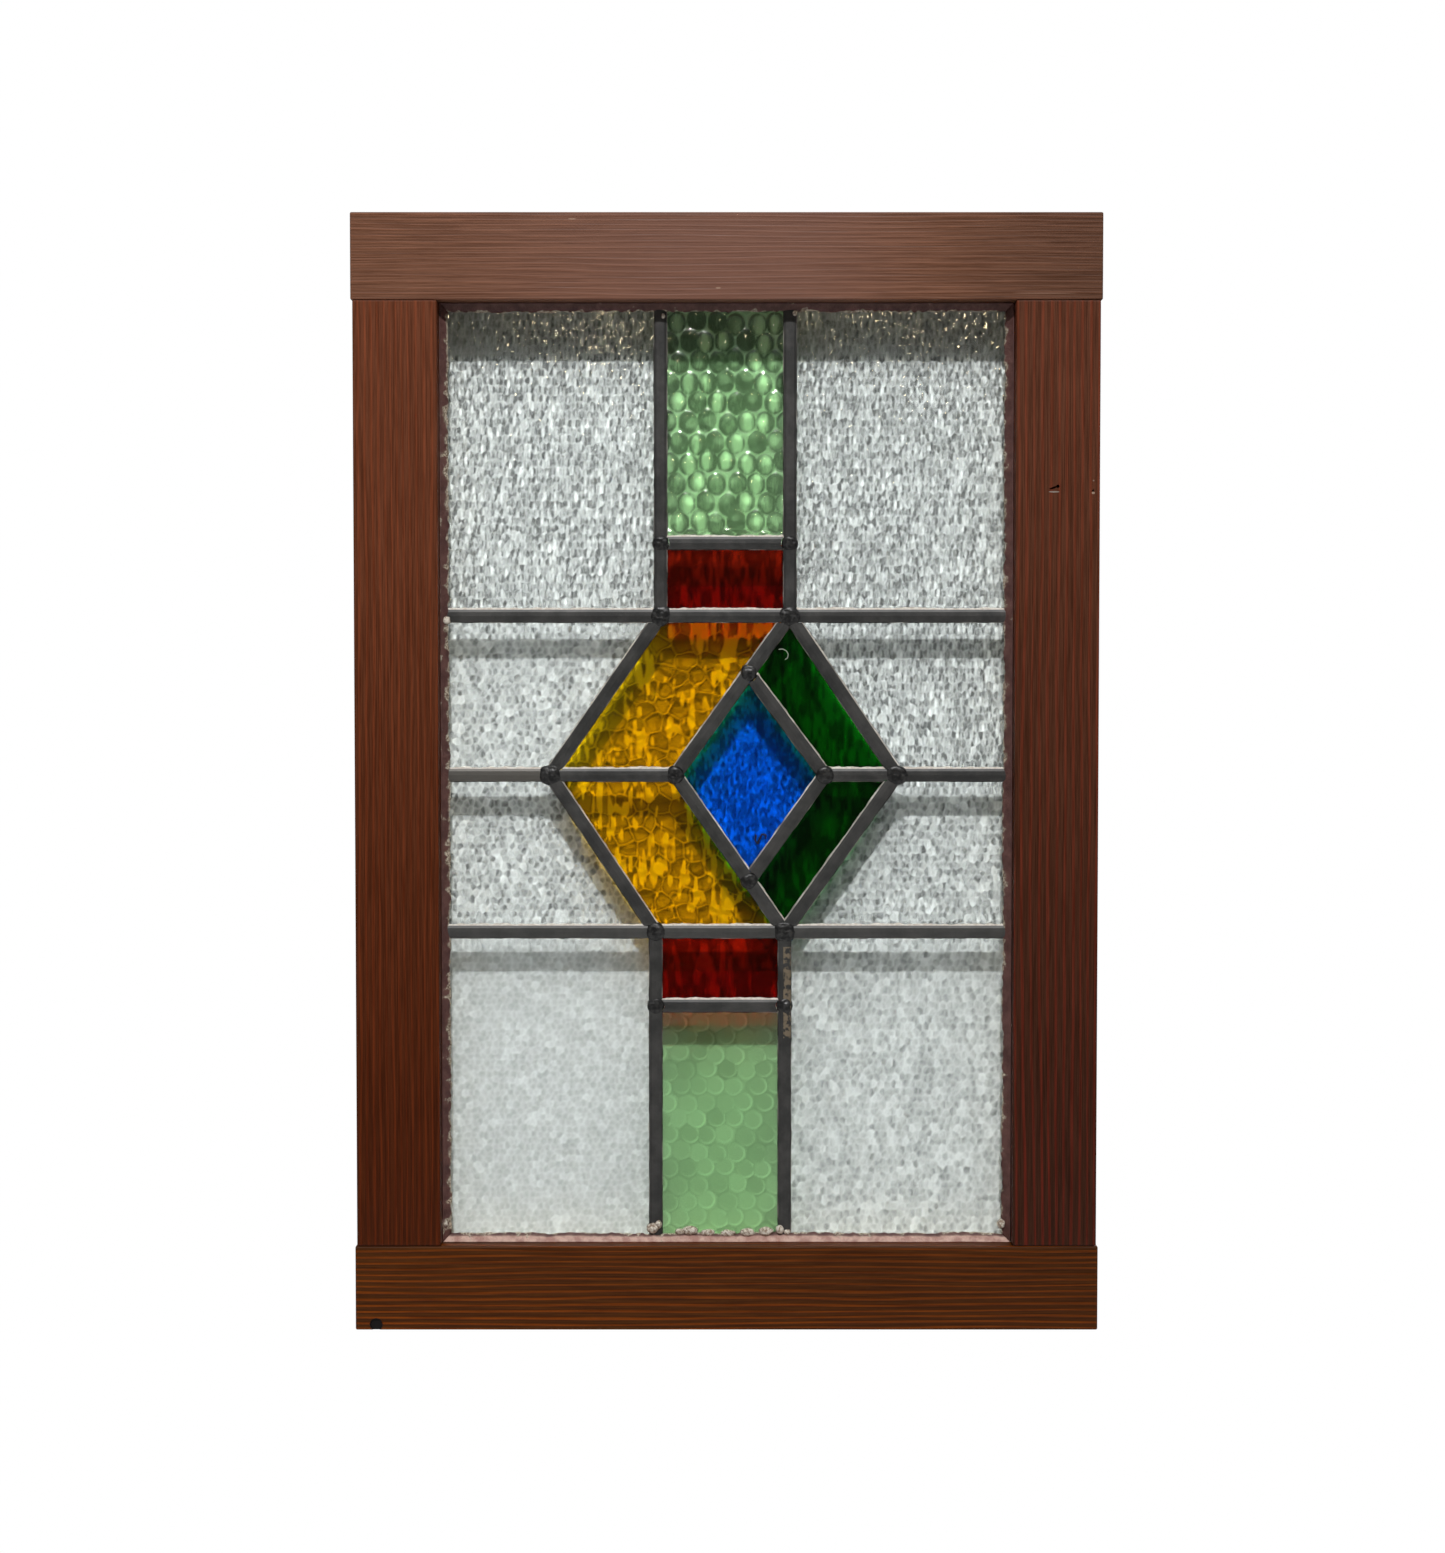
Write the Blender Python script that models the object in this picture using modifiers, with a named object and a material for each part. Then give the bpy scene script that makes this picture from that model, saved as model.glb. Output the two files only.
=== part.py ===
"""Leaded stained glass window in a stained softwood frame.

The window stands upright: X runs across it, +Z is up and the front faces -Y.
The origin is the middle of the bottom rail's underside.
All sizes are in metres.
"""

from math import atan2, cos, pi, sin

import bmesh
import bpy
from mathutils import Matrix, Vector

# Wooden frame
FRAME_WIDTH = 0.476
FRAME_HEIGHT = 0.712
FRAME_DEPTH = 0.038
TOP_RAIL_FACE = 0.055
BOTTOM_RAIL_FACE = 0.054
STILE_FACE = 0.0535
STILE_SET_IN = 0.0012
ARRIS = 0.0009
TOUCH_GAP = 0.0003

# Rebate that the leaded panel lies in, open to the back
LIP_DEPTH = 0.0134
REBATE_WIDTH = 0.010
PANE_ENTRY = 0.007
CAME_ENTRY = 0.005

# Old peg hole at the left end of the bottom rail, cut by the underside and filled to just below the face
PEG_HOLE_RADIUS = 0.0041
PEG_HOLE_DEPTH = 0.0015
PEG_HOLE_FROM_END = 0.0132
PEG_HOLE_HEIGHT = 0.0034

# Torn nail hole in the right stile: the nail's hole and the slit that it pulled beside it
NAIL_HOLE_RADIUS = 0.0011
NAIL_HOLE_DEPTH = 0.006
NAIL_HOLE_FROM_EDGE = 0.0268
NAIL_HOLE_HEIGHT = 0.5394
TEAR_LENGTH = 0.0058
TEAR_OPENING = 0.0013
TEAR_DEPTH = 0.0025
TEAR_LEAN = -0.33

# Pin hole near the right stile's outer edge
PIN_HOLE_RADIUS = 0.0007
PIN_HOLE_DEPTH = 0.004
PIN_HOLE_FROM_EDGE = 0.0045
PIN_HOLE_HEIGHT = 0.5367

# Glass
GLASS_THICKNESS = 0.003
GLASS_CLEARANCE = 0.0003
EDGE_CLEARANCE = 0.0005

# H-section lead came
CAME_FACE = 0.008
CAME_HEART = 0.0014
FLANGE_CROWN = 0.0014
FLANGE_EDGE = 0.0006
FLANGE_SHOULDER = 0.0025
FLANGE_SHOULDER_DROP = 0.0002
CHANNEL_FLARE = 0.0001
PANEL_CLEARANCE = 0.0004

# Solder on the lead joints
SOLDER_SPREAD = 0.0014
SOLDER_RISE = 0.0007

# Front putty, a painted fillet between the wood and the glass
FRONT_PUTTY_WIDTH = 0.0052
FRONT_PUTTY_RISE = 0.0030
FRONT_PUTTY_TOE = 0.0016

# Back putty, a plain slope that fills the rebate
BACK_PUTTY_OVERHANG = 0.0015
BACK_PUTTY_TOE = 0.0013
BACK_PUTTY_SET_BACK = 0.0015

# Lead pattern, measured from the centre of the sight opening
UPPER_LINE_Z = 0.1024
MIDDLE_LINE_Z = 0.0003
LOWER_LINE_Z = -0.1008
UPPER_BAR_Z = 0.1490
LOWER_BAR_Z = -0.1487
UPPER_LEFT_X = -0.0423
UPPER_RIGHT_X = 0.0406
LOWER_LEFT_X = -0.0457
LOWER_RIGHT_X = 0.0374
HEXAGON_LEFT_X = -0.1134
HEXAGON_RIGHT_X = 0.1096
DIAMOND_LEFT_X = -0.0331
BLUE_RIGHT_X = 0.0633
BLUE_TOP_Z = 0.0659
BLUE_BOTTOM_Z = -0.0679

# How round the turned forms are, and how finely meshes are merged
HOLE_SIDES = 24
SOLDER_SIDES = 12
SOLDER_RINGS = 6
ARRIS_SEGMENTS = 2
CUTTER_OVERRUN = 0.003
MERGE_DISTANCE = 1e-6
CUT_TOLERANCE = 1e-7
FLAT_ANGLE = 0.001

# Values that follow from those above
SIGHT_X = FRAME_WIDTH / 2 - STILE_SET_IN - STILE_FACE
SIGHT_BOTTOM = BOTTOM_RAIL_FACE
SIGHT_TOP = FRAME_HEIGHT - TOP_RAIL_FACE
SIGHT_MIDDLE = (SIGHT_BOTTOM + SIGHT_TOP) / 2
FRONT_Y = -FRAME_DEPTH / 2
CHANNEL_HALF = GLASS_THICKNESS / 2 + GLASS_CLEARANCE
CAME_HALF_DEPTH = CHANNEL_HALF + FLANGE_CROWN
GLASS_MIDDLE = LIP_DEPTH + PANEL_CLEARANCE + CAME_HALF_DEPTH
GLASS_FRONT = GLASS_MIDDLE - GLASS_THICKNESS / 2
GLASS_BACK = GLASS_MIDDLE + GLASS_THICKNESS / 2
GLASS_Y = FRONT_Y + GLASS_MIDDLE
SOLDER_RADIUS = CAME_FACE / 2 + SOLDER_SPREAD
PANE_INSET = CAME_HEART / 2 + EDGE_CLEARANCE

PARTS_NAME = "leaded_stained_glass_window"
CUTTERS_NAME = "cutters"

# Colour, roughness, metallic
FINISHES = {
    "mahogany_stained_wood": ((0.115, 0.042, 0.018), 0.5, 0.0),
    "painted_putty": ((0.110, 0.045, 0.036), 0.6, 0.0),
    "bare_putty": ((0.55, 0.48, 0.36), 0.8, 0.0),
    "dark_lead": ((0.050, 0.050, 0.050), 0.55, 0.6),
    "clear_glass": ((0.80, 0.87, 0.86), 0.1, 0.0),
    "pale_green_glass": ((0.25, 0.60, 0.27), 0.1, 0.0),
    "red_glass": ((0.45, 0.002, 0.005), 0.1, 0.0),
    "amber_glass": ((0.85, 0.45, 0.004), 0.1, 0.0),
    "dark_green_glass": ((0.01, 0.25, 0.02), 0.1, 0.0),
    "blue_glass": ((0.01, 0.16, 0.65), 0.1, 0.0),
}


def clear_scene():
    """Removes what the start-up file holds."""
    for thing in list(bpy.data.objects):
        bpy.data.objects.remove(thing, do_unlink=True)


def new_collection(name):
    """Returns a new collection in the scene."""
    made = bpy.data.collections.new(name)
    bpy.context.scene.collection.children.link(made)
    return made


def finish(name):
    """Returns the Principled material of this name."""
    found = bpy.data.materials.get(name)
    if found:
        return found
    colour, roughness, metallic = FINISHES[name]
    made = bpy.data.materials.new(name)
    made.use_nodes = True
    shader = made.node_tree.nodes["Principled BSDF"]
    shader.inputs["Base Color"].default_value = (*colour, 1.0)
    shader.inputs["Roughness"].default_value = roughness
    shader.inputs["Metallic"].default_value = metallic
    made.diffuse_color = (*colour, 1.0)
    return made


def place(name, mesh, collection, material=None, matrix=None):
    """Puts a mesh in the scene as a named object."""
    thing = bpy.data.objects.new(name, mesh)
    collection.objects.link(thing)
    if matrix is not None:
        thing.matrix_world = matrix
    if material:
        mesh.materials.append(finish(material))
    return thing


def hide_as_cutter(thing):
    """Marks an object as a tool for a Boolean."""
    thing.hide_render = True
    thing.display_type = "WIRE"


def box(name, low, high, collection, material=None):
    """A rectangular block between two corners, its origin at its middle."""
    low = Vector(low)
    high = Vector(high)
    size = high - low
    shape = bmesh.new()
    bmesh.ops.create_cube(shape, size=1.0, matrix=Matrix.Diagonal((*size, 1.0)))
    mesh = bpy.data.meshes.new(name)
    shape.to_mesh(mesh)
    shape.free()
    return place(name, mesh, collection, material, Matrix.Translation((low + high) / 2))


def prism(name, outline, length, matrix, collection, material=None):
    """A flat outline in local X and Y, carried along local Z on both sides of it."""
    flat = bpy.data.curves.new(name, "CURVE")
    flat.dimensions = "2D"
    flat.fill_mode = "BOTH"
    flat.extrude = length / 2
    line = flat.splines.new("POLY")
    line.points.add(len(outline) - 1)
    for point, (across, through) in zip(line.points, outline):
        point.co = (across, through, 0.0, 1.0)
    line.use_cyclic_u = True
    drawn = bpy.data.objects.new(name, flat)
    collection.objects.link(drawn)
    drawn.matrix_world = matrix
    bpy.context.view_layer.update()
    seen = drawn.evaluated_get(bpy.context.evaluated_depsgraph_get())
    mesh = bpy.data.meshes.new_from_object(seen)
    bpy.data.objects.remove(drawn, do_unlink=True)
    shape = bmesh.new()
    shape.from_mesh(mesh)
    bmesh.ops.remove_doubles(shape, verts=shape.verts, dist=MERGE_DISTANCE)
    bmesh.ops.dissolve_limit(
        shape, angle_limit=FLAT_ANGLE, verts=shape.verts, edges=shape.edges
    )
    bmesh.ops.recalc_face_normals(shape, faces=shape.faces)
    shape.to_mesh(mesh)
    shape.free()
    mesh.name = name
    return place(name, mesh, collection, material, matrix)


def trim(thing, point, keep):
    """Cuts an object flat at a world point and keeps the side that keep points to."""
    into = thing.matrix_world.inverted()
    local_point = into @ Vector(point)
    local_keep = into.to_3x3() @ Vector(keep)
    shape = bmesh.new()
    shape.from_mesh(thing.data)
    cut = bmesh.ops.bisect_plane(
        shape,
        geom=shape.verts[:] + shape.edges[:] + shape.faces[:],
        dist=CUT_TOLERANCE,
        plane_co=local_point,
        plane_no=-local_keep,
        clear_outer=True,
    )
    rim = [part for part in cut["geom_cut"] if isinstance(part, bmesh.types.BMEdge)]
    bmesh.ops.holes_fill(shape, edges=rim)
    bmesh.ops.recalc_face_normals(shape, faces=shape.faces)
    shape.to_mesh(thing.data)
    shape.free()


def boolean(thing, tool, operation):
    """Adds a Boolean with another object as its tool."""
    step = thing.modifiers.new(tool.name, "BOOLEAN")
    step.operation = operation
    step.solver = "EXACT"
    step.object = tool


def soften(thing):
    """Rounds off the sharp edges of a wooden piece."""
    step = thing.modifiers.new("arris", "BEVEL")
    step.width = ARRIS
    step.segments = ARRIS_SEGMENTS
    step.limit_method = "ANGLE"


def frame_pieces(parts, cutters):
    """Two rails across the full width and two stiles that butt between them."""
    half_width = FRAME_WIDTH / 2
    back_y = FRONT_Y + FRAME_DEPTH
    stile_outer = half_width - STILE_SET_IN
    stile_low = SIGHT_BOTTOM + TOUCH_GAP
    stile_high = SIGHT_TOP - TOUCH_GAP
    spans = {
        "bottom_rail": (-half_width, half_width, 0, SIGHT_BOTTOM),
        "top_rail": (-half_width, half_width, SIGHT_TOP, FRAME_HEIGHT),
        "left_stile": (-stile_outer, -SIGHT_X, stile_low, stile_high),
        "right_stile": (SIGHT_X, stile_outer, stile_low, stile_high),
    }
    pieces = {}
    for name, (left, right, low, high) in spans.items():
        near = (left, FRONT_Y, low)
        far = (right, back_y, high)
        pieces[name] = box(name, near, far, parts, "mahogany_stained_wood")
    rebate = box(
        "rebate_space",
        (-SIGHT_X - REBATE_WIDTH, FRONT_Y + LIP_DEPTH, SIGHT_BOTTOM - REBATE_WIDTH),
        (SIGHT_X + REBATE_WIDTH, back_y + REBATE_WIDTH, SIGHT_TOP + REBATE_WIDTH),
        cutters,
    )
    hide_as_cutter(rebate)
    for piece in pieces.values():
        soften(piece)
        boolean(piece, rebate, "DIFFERENCE")
    holes = wood_holes(stile_outer)
    for name, (piece, x, z, length, opening, depth, lean) in holes.items():
        hole = oval_cutter(name, (x, FRONT_Y, z), (length, depth, opening), lean, cutters)
        boolean(pieces[piece], hole, "DIFFERENCE")


def wood_holes(stile_outer):
    """The old holes: the piece, X, Z, length, opening, depth and lean of each."""
    peg = 2 * PEG_HOLE_RADIUS
    peg_x = -FRAME_WIDTH / 2 + PEG_HOLE_FROM_END
    nail = 2 * NAIL_HOLE_RADIUS
    nail_x = stile_outer - NAIL_HOLE_FROM_EDGE
    tear_x = nail_x - cos(TEAR_LEAN) * TEAR_LENGTH / 2
    tear_z = NAIL_HOLE_HEIGHT + sin(TEAR_LEAN) * TEAR_LENGTH / 2
    pin = 2 * PIN_HOLE_RADIUS
    pin_x = stile_outer - PIN_HOLE_FROM_EDGE
    return {
        "peg_hole": ("bottom_rail", peg_x, PEG_HOLE_HEIGHT, peg, peg, PEG_HOLE_DEPTH, 0.0),
        "nail_hole": ("right_stile", nail_x, NAIL_HOLE_HEIGHT, nail, nail, NAIL_HOLE_DEPTH, 0.0),
        "nail_tear": ("right_stile", tear_x, tear_z, TEAR_LENGTH, TEAR_OPENING, TEAR_DEPTH, TEAR_LEAN),
        "pin_hole": ("right_stile", pin_x, PIN_HOLE_HEIGHT, pin, pin, PIN_HOLE_DEPTH, 0.0),
    }


def oval_cutter(name, middle, size, lean, cutters):
    """An oval cutter of this length, depth and opening, sunk from a point on the frame's front."""
    length, depth, opening = size
    shape = bmesh.new()
    bmesh.ops.create_cone(
        shape,
        cap_ends=True,
        segments=HOLE_SIDES,
        radius1=1.0,
        radius2=1.0,
        depth=2.0,
        matrix=Matrix.Rotation(pi / 2, 4, "X"),
    )
    mesh = bpy.data.meshes.new(name)
    shape.to_mesh(mesh)
    shape.free()
    hole = place(name, mesh, cutters)
    stretch = Matrix.Diagonal((length / 2, depth, opening / 2, 1.0))
    turn = Matrix.Rotation(lean, 4, "Y")
    hole.matrix_world = Matrix.Translation(middle) @ turn @ stretch
    hide_as_cutter(hole)
    return hole


def crossing(line_a, line_b):
    """The point where two lines in the window's plane meet."""
    (start_a, end_a) = line_a
    (start_b, end_b) = line_b
    way_a = end_a - start_a
    way_b = end_b - start_b
    share = (start_b - start_a).cross(way_b) / way_a.cross(way_b)
    return start_a + way_a * share


def at_height(line, height):
    """The point of a line at this height."""
    level = (Vector((0, height)), Vector((1, height)))
    return crossing(line, level)


def pattern_points():
    """Every point where lead strips meet or end, as X and Z in the window's plane."""
    def spot(x, rise):
        return Vector((x, SIGHT_MIDDLE + rise))

    edge_x = SIGHT_X + CAME_ENTRY
    top = SIGHT_TOP + CAME_ENTRY
    bottom = SIGHT_BOTTOM - CAME_ENTRY
    points = {
        "upper_line_left": spot(-edge_x, UPPER_LINE_Z),
        "upper_line_right": spot(edge_x, UPPER_LINE_Z),
        "middle_line_left": spot(-edge_x, MIDDLE_LINE_Z),
        "middle_line_right": spot(edge_x, MIDDLE_LINE_Z),
        "lower_line_left": spot(-edge_x, LOWER_LINE_Z),
        "lower_line_right": spot(edge_x, LOWER_LINE_Z),
        "top_left": Vector((UPPER_LEFT_X, top)),
        "top_right": Vector((UPPER_RIGHT_X, top)),
        "bottom_left": Vector((LOWER_LEFT_X, bottom)),
        "bottom_right": Vector((LOWER_RIGHT_X, bottom)),
        "upper_left_cross": spot(UPPER_LEFT_X, UPPER_LINE_Z),
        "upper_right_cross": spot(UPPER_RIGHT_X, UPPER_LINE_Z),
        "lower_left_cross": spot(LOWER_LEFT_X, LOWER_LINE_Z),
        "lower_right_cross": spot(LOWER_RIGHT_X, LOWER_LINE_Z),
        "upper_bar_left": spot(UPPER_LEFT_X, UPPER_BAR_Z),
        "upper_bar_right": spot(UPPER_RIGHT_X, UPPER_BAR_Z),
        "lower_bar_left": spot(LOWER_LEFT_X, LOWER_BAR_Z),
        "lower_bar_right": spot(LOWER_RIGHT_X, LOWER_BAR_Z),
        "hexagon_left": spot(HEXAGON_LEFT_X, MIDDLE_LINE_Z),
        "hexagon_right": spot(HEXAGON_RIGHT_X, MIDDLE_LINE_Z),
        "diamond_left": spot(DIAMOND_LEFT_X, MIDDLE_LINE_Z),
        "blue_right": spot(BLUE_RIGHT_X, MIDDLE_LINE_Z),
    }
    upper_side = (points["diamond_left"], points["upper_right_cross"])
    lower_side = (points["diamond_left"], points["lower_right_cross"])
    points["blue_top"] = at_height(upper_side, SIGHT_MIDDLE + BLUE_TOP_Z)
    points["blue_bottom"] = at_height(lower_side, SIGHT_MIDDLE + BLUE_BOTTOM_Z)
    return points


# Lead strips: the two points that each runs between
STRIPS = {
    "came_upper_line": ("upper_line_left", "upper_line_right"),
    "came_lower_line": ("lower_line_left", "lower_line_right"),
    "came_vertical_upper_left": ("top_left", "upper_left_cross"),
    "came_vertical_upper_right": ("top_right", "upper_right_cross"),
    "came_vertical_lower_left": ("lower_left_cross", "bottom_left"),
    "came_vertical_lower_right": ("lower_right_cross", "bottom_right"),
    "came_upper_bar": ("upper_bar_left", "upper_bar_right"),
    "came_lower_bar": ("lower_bar_left", "lower_bar_right"),
    "came_middle_left": ("middle_line_left", "hexagon_left"),
    "came_between_ambers": ("hexagon_left", "diamond_left"),
    "came_between_greens": ("blue_right", "hexagon_right"),
    "came_middle_right": ("hexagon_right", "middle_line_right"),
    "came_hexagon_upper_left": ("upper_left_cross", "hexagon_left"),
    "came_hexagon_lower_left": ("hexagon_left", "lower_left_cross"),
    "came_hexagon_upper_right": ("upper_right_cross", "hexagon_right"),
    "came_hexagon_lower_right": ("hexagon_right", "lower_right_cross"),
    "came_diamond_upper_left": ("upper_right_cross", "diamond_left"),
    "came_diamond_lower_left": ("diamond_left", "lower_right_cross"),
    "came_blue_upper_right": ("blue_top", "blue_right"),
    "came_blue_lower_right": ("blue_right", "blue_bottom"),
}

# Lead joints: the strip that carries the solder and the strips that are cut to meet it
JOINTS = {
    "upper_left_cross": (
        "came_upper_line",
        ["came_vertical_upper_left", "came_hexagon_upper_left"],
    ),
    "upper_right_cross": (
        "came_upper_line",
        ["came_vertical_upper_right", "came_diamond_upper_left", "came_hexagon_upper_right"],
    ),
    "lower_left_cross": (
        "came_lower_line",
        ["came_vertical_lower_left", "came_hexagon_lower_left"],
    ),
    "lower_right_cross": (
        "came_lower_line",
        ["came_vertical_lower_right", "came_diamond_lower_left", "came_hexagon_lower_right"],
    ),
    "upper_bar_left": ("came_vertical_upper_left", ["came_upper_bar"]),
    "upper_bar_right": ("came_vertical_upper_right", ["came_upper_bar"]),
    "lower_bar_left": ("came_vertical_lower_left", ["came_lower_bar"]),
    "lower_bar_right": ("came_vertical_lower_right", ["came_lower_bar"]),
    "blue_top": ("came_diamond_upper_left", ["came_blue_upper_right"]),
    "blue_bottom": ("came_diamond_lower_left", ["came_blue_lower_right"]),
    "hexagon_left": (
        "came_middle_left",
        ["came_between_ambers", "came_hexagon_upper_left", "came_hexagon_lower_left"],
    ),
    "hexagon_right": (
        "came_middle_right",
        ["came_between_greens", "came_hexagon_upper_right", "came_hexagon_lower_right"],
    ),
    "diamond_left": (
        "came_between_ambers",
        ["came_diamond_upper_left", "came_diamond_lower_left"],
    ),
    "blue_right": (
        "came_between_greens",
        ["came_blue_upper_right", "came_blue_lower_right"],
    ),
}

# Panes: the glass and the lines round each one, anticlockwise from the lowest
PANES = {
    "pane_clear_top_left": (
        "clear_glass",
        ["came_upper_line", "came_vertical_upper_left", "frame_top", "frame_left"],
    ),
    "pane_pale_green_top": (
        "pale_green_glass",
        ["came_upper_bar", "came_vertical_upper_right", "frame_top", "came_vertical_upper_left"],
    ),
    "pane_red_top": (
        "red_glass",
        ["came_upper_line", "came_vertical_upper_right", "came_upper_bar", "came_vertical_upper_left"],
    ),
    "pane_clear_top_right": (
        "clear_glass",
        ["came_upper_line", "frame_right", "frame_top", "came_vertical_upper_right"],
    ),
    "pane_clear_upper_left": (
        "clear_glass",
        ["came_middle_left", "came_hexagon_upper_left", "came_upper_line", "frame_left"],
    ),
    "pane_amber_upper": (
        "amber_glass",
        ["came_between_ambers", "came_diamond_upper_left", "came_upper_line", "came_hexagon_upper_left"],
    ),
    "pane_dark_green_upper": (
        "dark_green_glass",
        [
            "came_between_greens",
            "came_hexagon_upper_right",
            "came_diamond_upper_left",
            "came_blue_upper_right",
        ],
    ),
    "pane_clear_upper_right": (
        "clear_glass",
        ["came_middle_right", "frame_right", "came_upper_line", "came_hexagon_upper_right"],
    ),
    "pane_blue_diamond": (
        "blue_glass",
        [
            "came_diamond_lower_left",
            "came_blue_lower_right",
            "came_blue_upper_right",
            "came_diamond_upper_left",
        ],
    ),
    "pane_clear_lower_left": (
        "clear_glass",
        ["came_lower_line", "came_hexagon_lower_left", "came_middle_left", "frame_left"],
    ),
    "pane_amber_lower": (
        "amber_glass",
        ["came_lower_line", "came_diamond_lower_left", "came_between_ambers", "came_hexagon_lower_left"],
    ),
    "pane_dark_green_lower": (
        "dark_green_glass",
        [
            "came_diamond_lower_left",
            "came_hexagon_lower_right",
            "came_between_greens",
            "came_blue_lower_right",
        ],
    ),
    "pane_clear_lower_right": (
        "clear_glass",
        ["came_lower_line", "frame_right", "came_middle_right", "came_hexagon_lower_right"],
    ),
    "pane_clear_bottom_left": (
        "clear_glass",
        ["frame_bottom", "came_vertical_lower_left", "came_lower_line", "frame_left"],
    ),
    "pane_red_bottom": (
        "red_glass",
        ["came_lower_bar", "came_vertical_lower_right", "came_lower_line", "came_vertical_lower_left"],
    ),
    "pane_pale_green_bottom": (
        "pale_green_glass",
        ["frame_bottom", "came_vertical_lower_right", "came_lower_bar", "came_vertical_lower_left"],
    ),
    "pane_clear_bottom_right": (
        "clear_glass",
        ["frame_bottom", "frame_right", "came_lower_line", "came_vertical_lower_right"],
    ),
}


def came_section():
    """The H-section of the lead: two domed flanges and the heart between them."""
    half = CAME_FACE / 2
    heart = CAME_HEART / 2
    edge = CHANNEL_HALF + FLANGE_EDGE
    shoulder = CAME_HALF_DEPTH - FLANGE_SHOULDER_DROP
    quarter = [
        (0.0, CAME_HALF_DEPTH),
        (FLANGE_SHOULDER, shoulder),
        (half, edge),
        (half, CHANNEL_HALF + CHANNEL_FLARE),
        (heart, CHANNEL_HALF),
    ]
    right = quarter + [(x, -y) for x, y in reversed(quarter)]
    left = [(-x, y) for x, y in reversed(right[1:-1])]
    return right + left


def upright(point, y=GLASS_Y):
    """A point of the window's plane as a point in space."""
    return Vector((point.x, y, point.y))


def along(start, end):
    """The matrix that lays a section across the line from start to end in the glass's plane."""
    way = upright(end, 0.0) - upright(start, 0.0)
    way.normalize()
    depth = Vector((0, 1, 0))
    across = depth.cross(way)
    turn = Matrix((across, depth, way)).transposed().to_4x4()
    return Matrix.Translation(upright((start + end) / 2)) @ turn


def other_end(strip, joint, points):
    """The point at the far end of a strip from this joint."""
    start, end = STRIPS[strip]
    return points[end] if start == joint else points[start]


def cut_beside(thing, joint, points, carrier, toward):
    """Cuts a strip along the edge of the strip that runs through the joint."""
    start, end = (points[name] for name in STRIPS[carrier])
    way = (end - start).normalized()
    side = Vector((-way.y, way.x))
    if side.dot(toward) < 0:
        side = -side
    edge = points[joint] + side * (CAME_FACE / 2 + TOUCH_GAP)
    trim(thing, upright(edge), upright(side, 0.0))


def cut_between(thing, joint, points, toward, neighbour):
    """Cuts a strip along the line midway between it and its neighbour at the joint."""
    angle = atan2(toward.y, toward.x)
    turn = atan2(toward.cross(neighbour), toward.dot(neighbour))
    middle = angle + turn / 2
    keep = Vector((sin(middle), -cos(middle)))
    if keep.dot(toward) < 0:
        keep = -keep
    edge = points[joint] + keep * (TOUCH_GAP / 2)
    trim(thing, upright(edge), upright(keep, 0.0))


def solder_dome(shape, side):
    """Half of a flattened ball on one face of the lead, side -1 in front and 1 behind."""
    base_depth = CHANNEL_HALF + FLANGE_EDGE / 2
    height = CAME_HALF_DEPTH + SOLDER_RISE - base_depth
    base = Vector((0, side * base_depth, 0))
    turn = Matrix.Rotation(pi / 2, 4, "X")
    squash = Matrix.Diagonal((SOLDER_RADIUS, height, SOLDER_RADIUS, 1.0))
    ball = bmesh.ops.create_uvsphere(
        shape,
        u_segments=SOLDER_SIDES,
        v_segments=SOLDER_RINGS,
        radius=1.0,
        matrix=Matrix.Translation(base) @ squash @ turn,
    )
    verts = ball["verts"]
    edges = {edge for vert in verts for edge in vert.link_edges}
    faces = {face for vert in verts for face in vert.link_faces}
    cut = bmesh.ops.bisect_plane(
        shape,
        geom=list(verts) + list(edges) + list(faces),
        dist=CUT_TOLERANCE,
        plane_co=base,
        plane_no=(0, -side, 0),
        clear_outer=True,
    )
    rim = [part for part in cut["geom_cut"] if isinstance(part, bmesh.types.BMEdge)]
    bmesh.ops.holes_fill(shape, edges=rim)


def solder_tools(joint, points, cutters):
    """The two solder lumps of a joint, and the drum that cuts other strips clear of them."""
    lumps = bmesh.new()
    solder_dome(lumps, -1)
    solder_dome(lumps, 1)
    bmesh.ops.recalc_face_normals(lumps, faces=lumps.faces)
    lump_mesh = bpy.data.meshes.new("solder_" + joint)
    lumps.to_mesh(lump_mesh)
    lumps.free()
    drum = bmesh.new()
    bmesh.ops.create_cone(
        drum,
        cap_ends=True,
        segments=HOLE_SIDES,
        radius1=SOLDER_RADIUS + TOUCH_GAP,
        radius2=SOLDER_RADIUS + TOUCH_GAP,
        depth=2 * (CAME_HALF_DEPTH + CUTTER_OVERRUN),
        matrix=Matrix.Rotation(pi / 2, 4, "X"),
    )
    drum_mesh = bpy.data.meshes.new("clear_of_" + joint)
    drum.to_mesh(drum_mesh)
    drum.free()
    spot = Matrix.Translation(upright(points[joint]))
    lump = place(lump_mesh.name, lump_mesh, cutters, matrix=spot)
    clear = place(drum_mesh.name, drum_mesh, cutters, matrix=spot)
    hide_as_cutter(lump)
    hide_as_cutter(clear)
    return lump, clear


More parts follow.
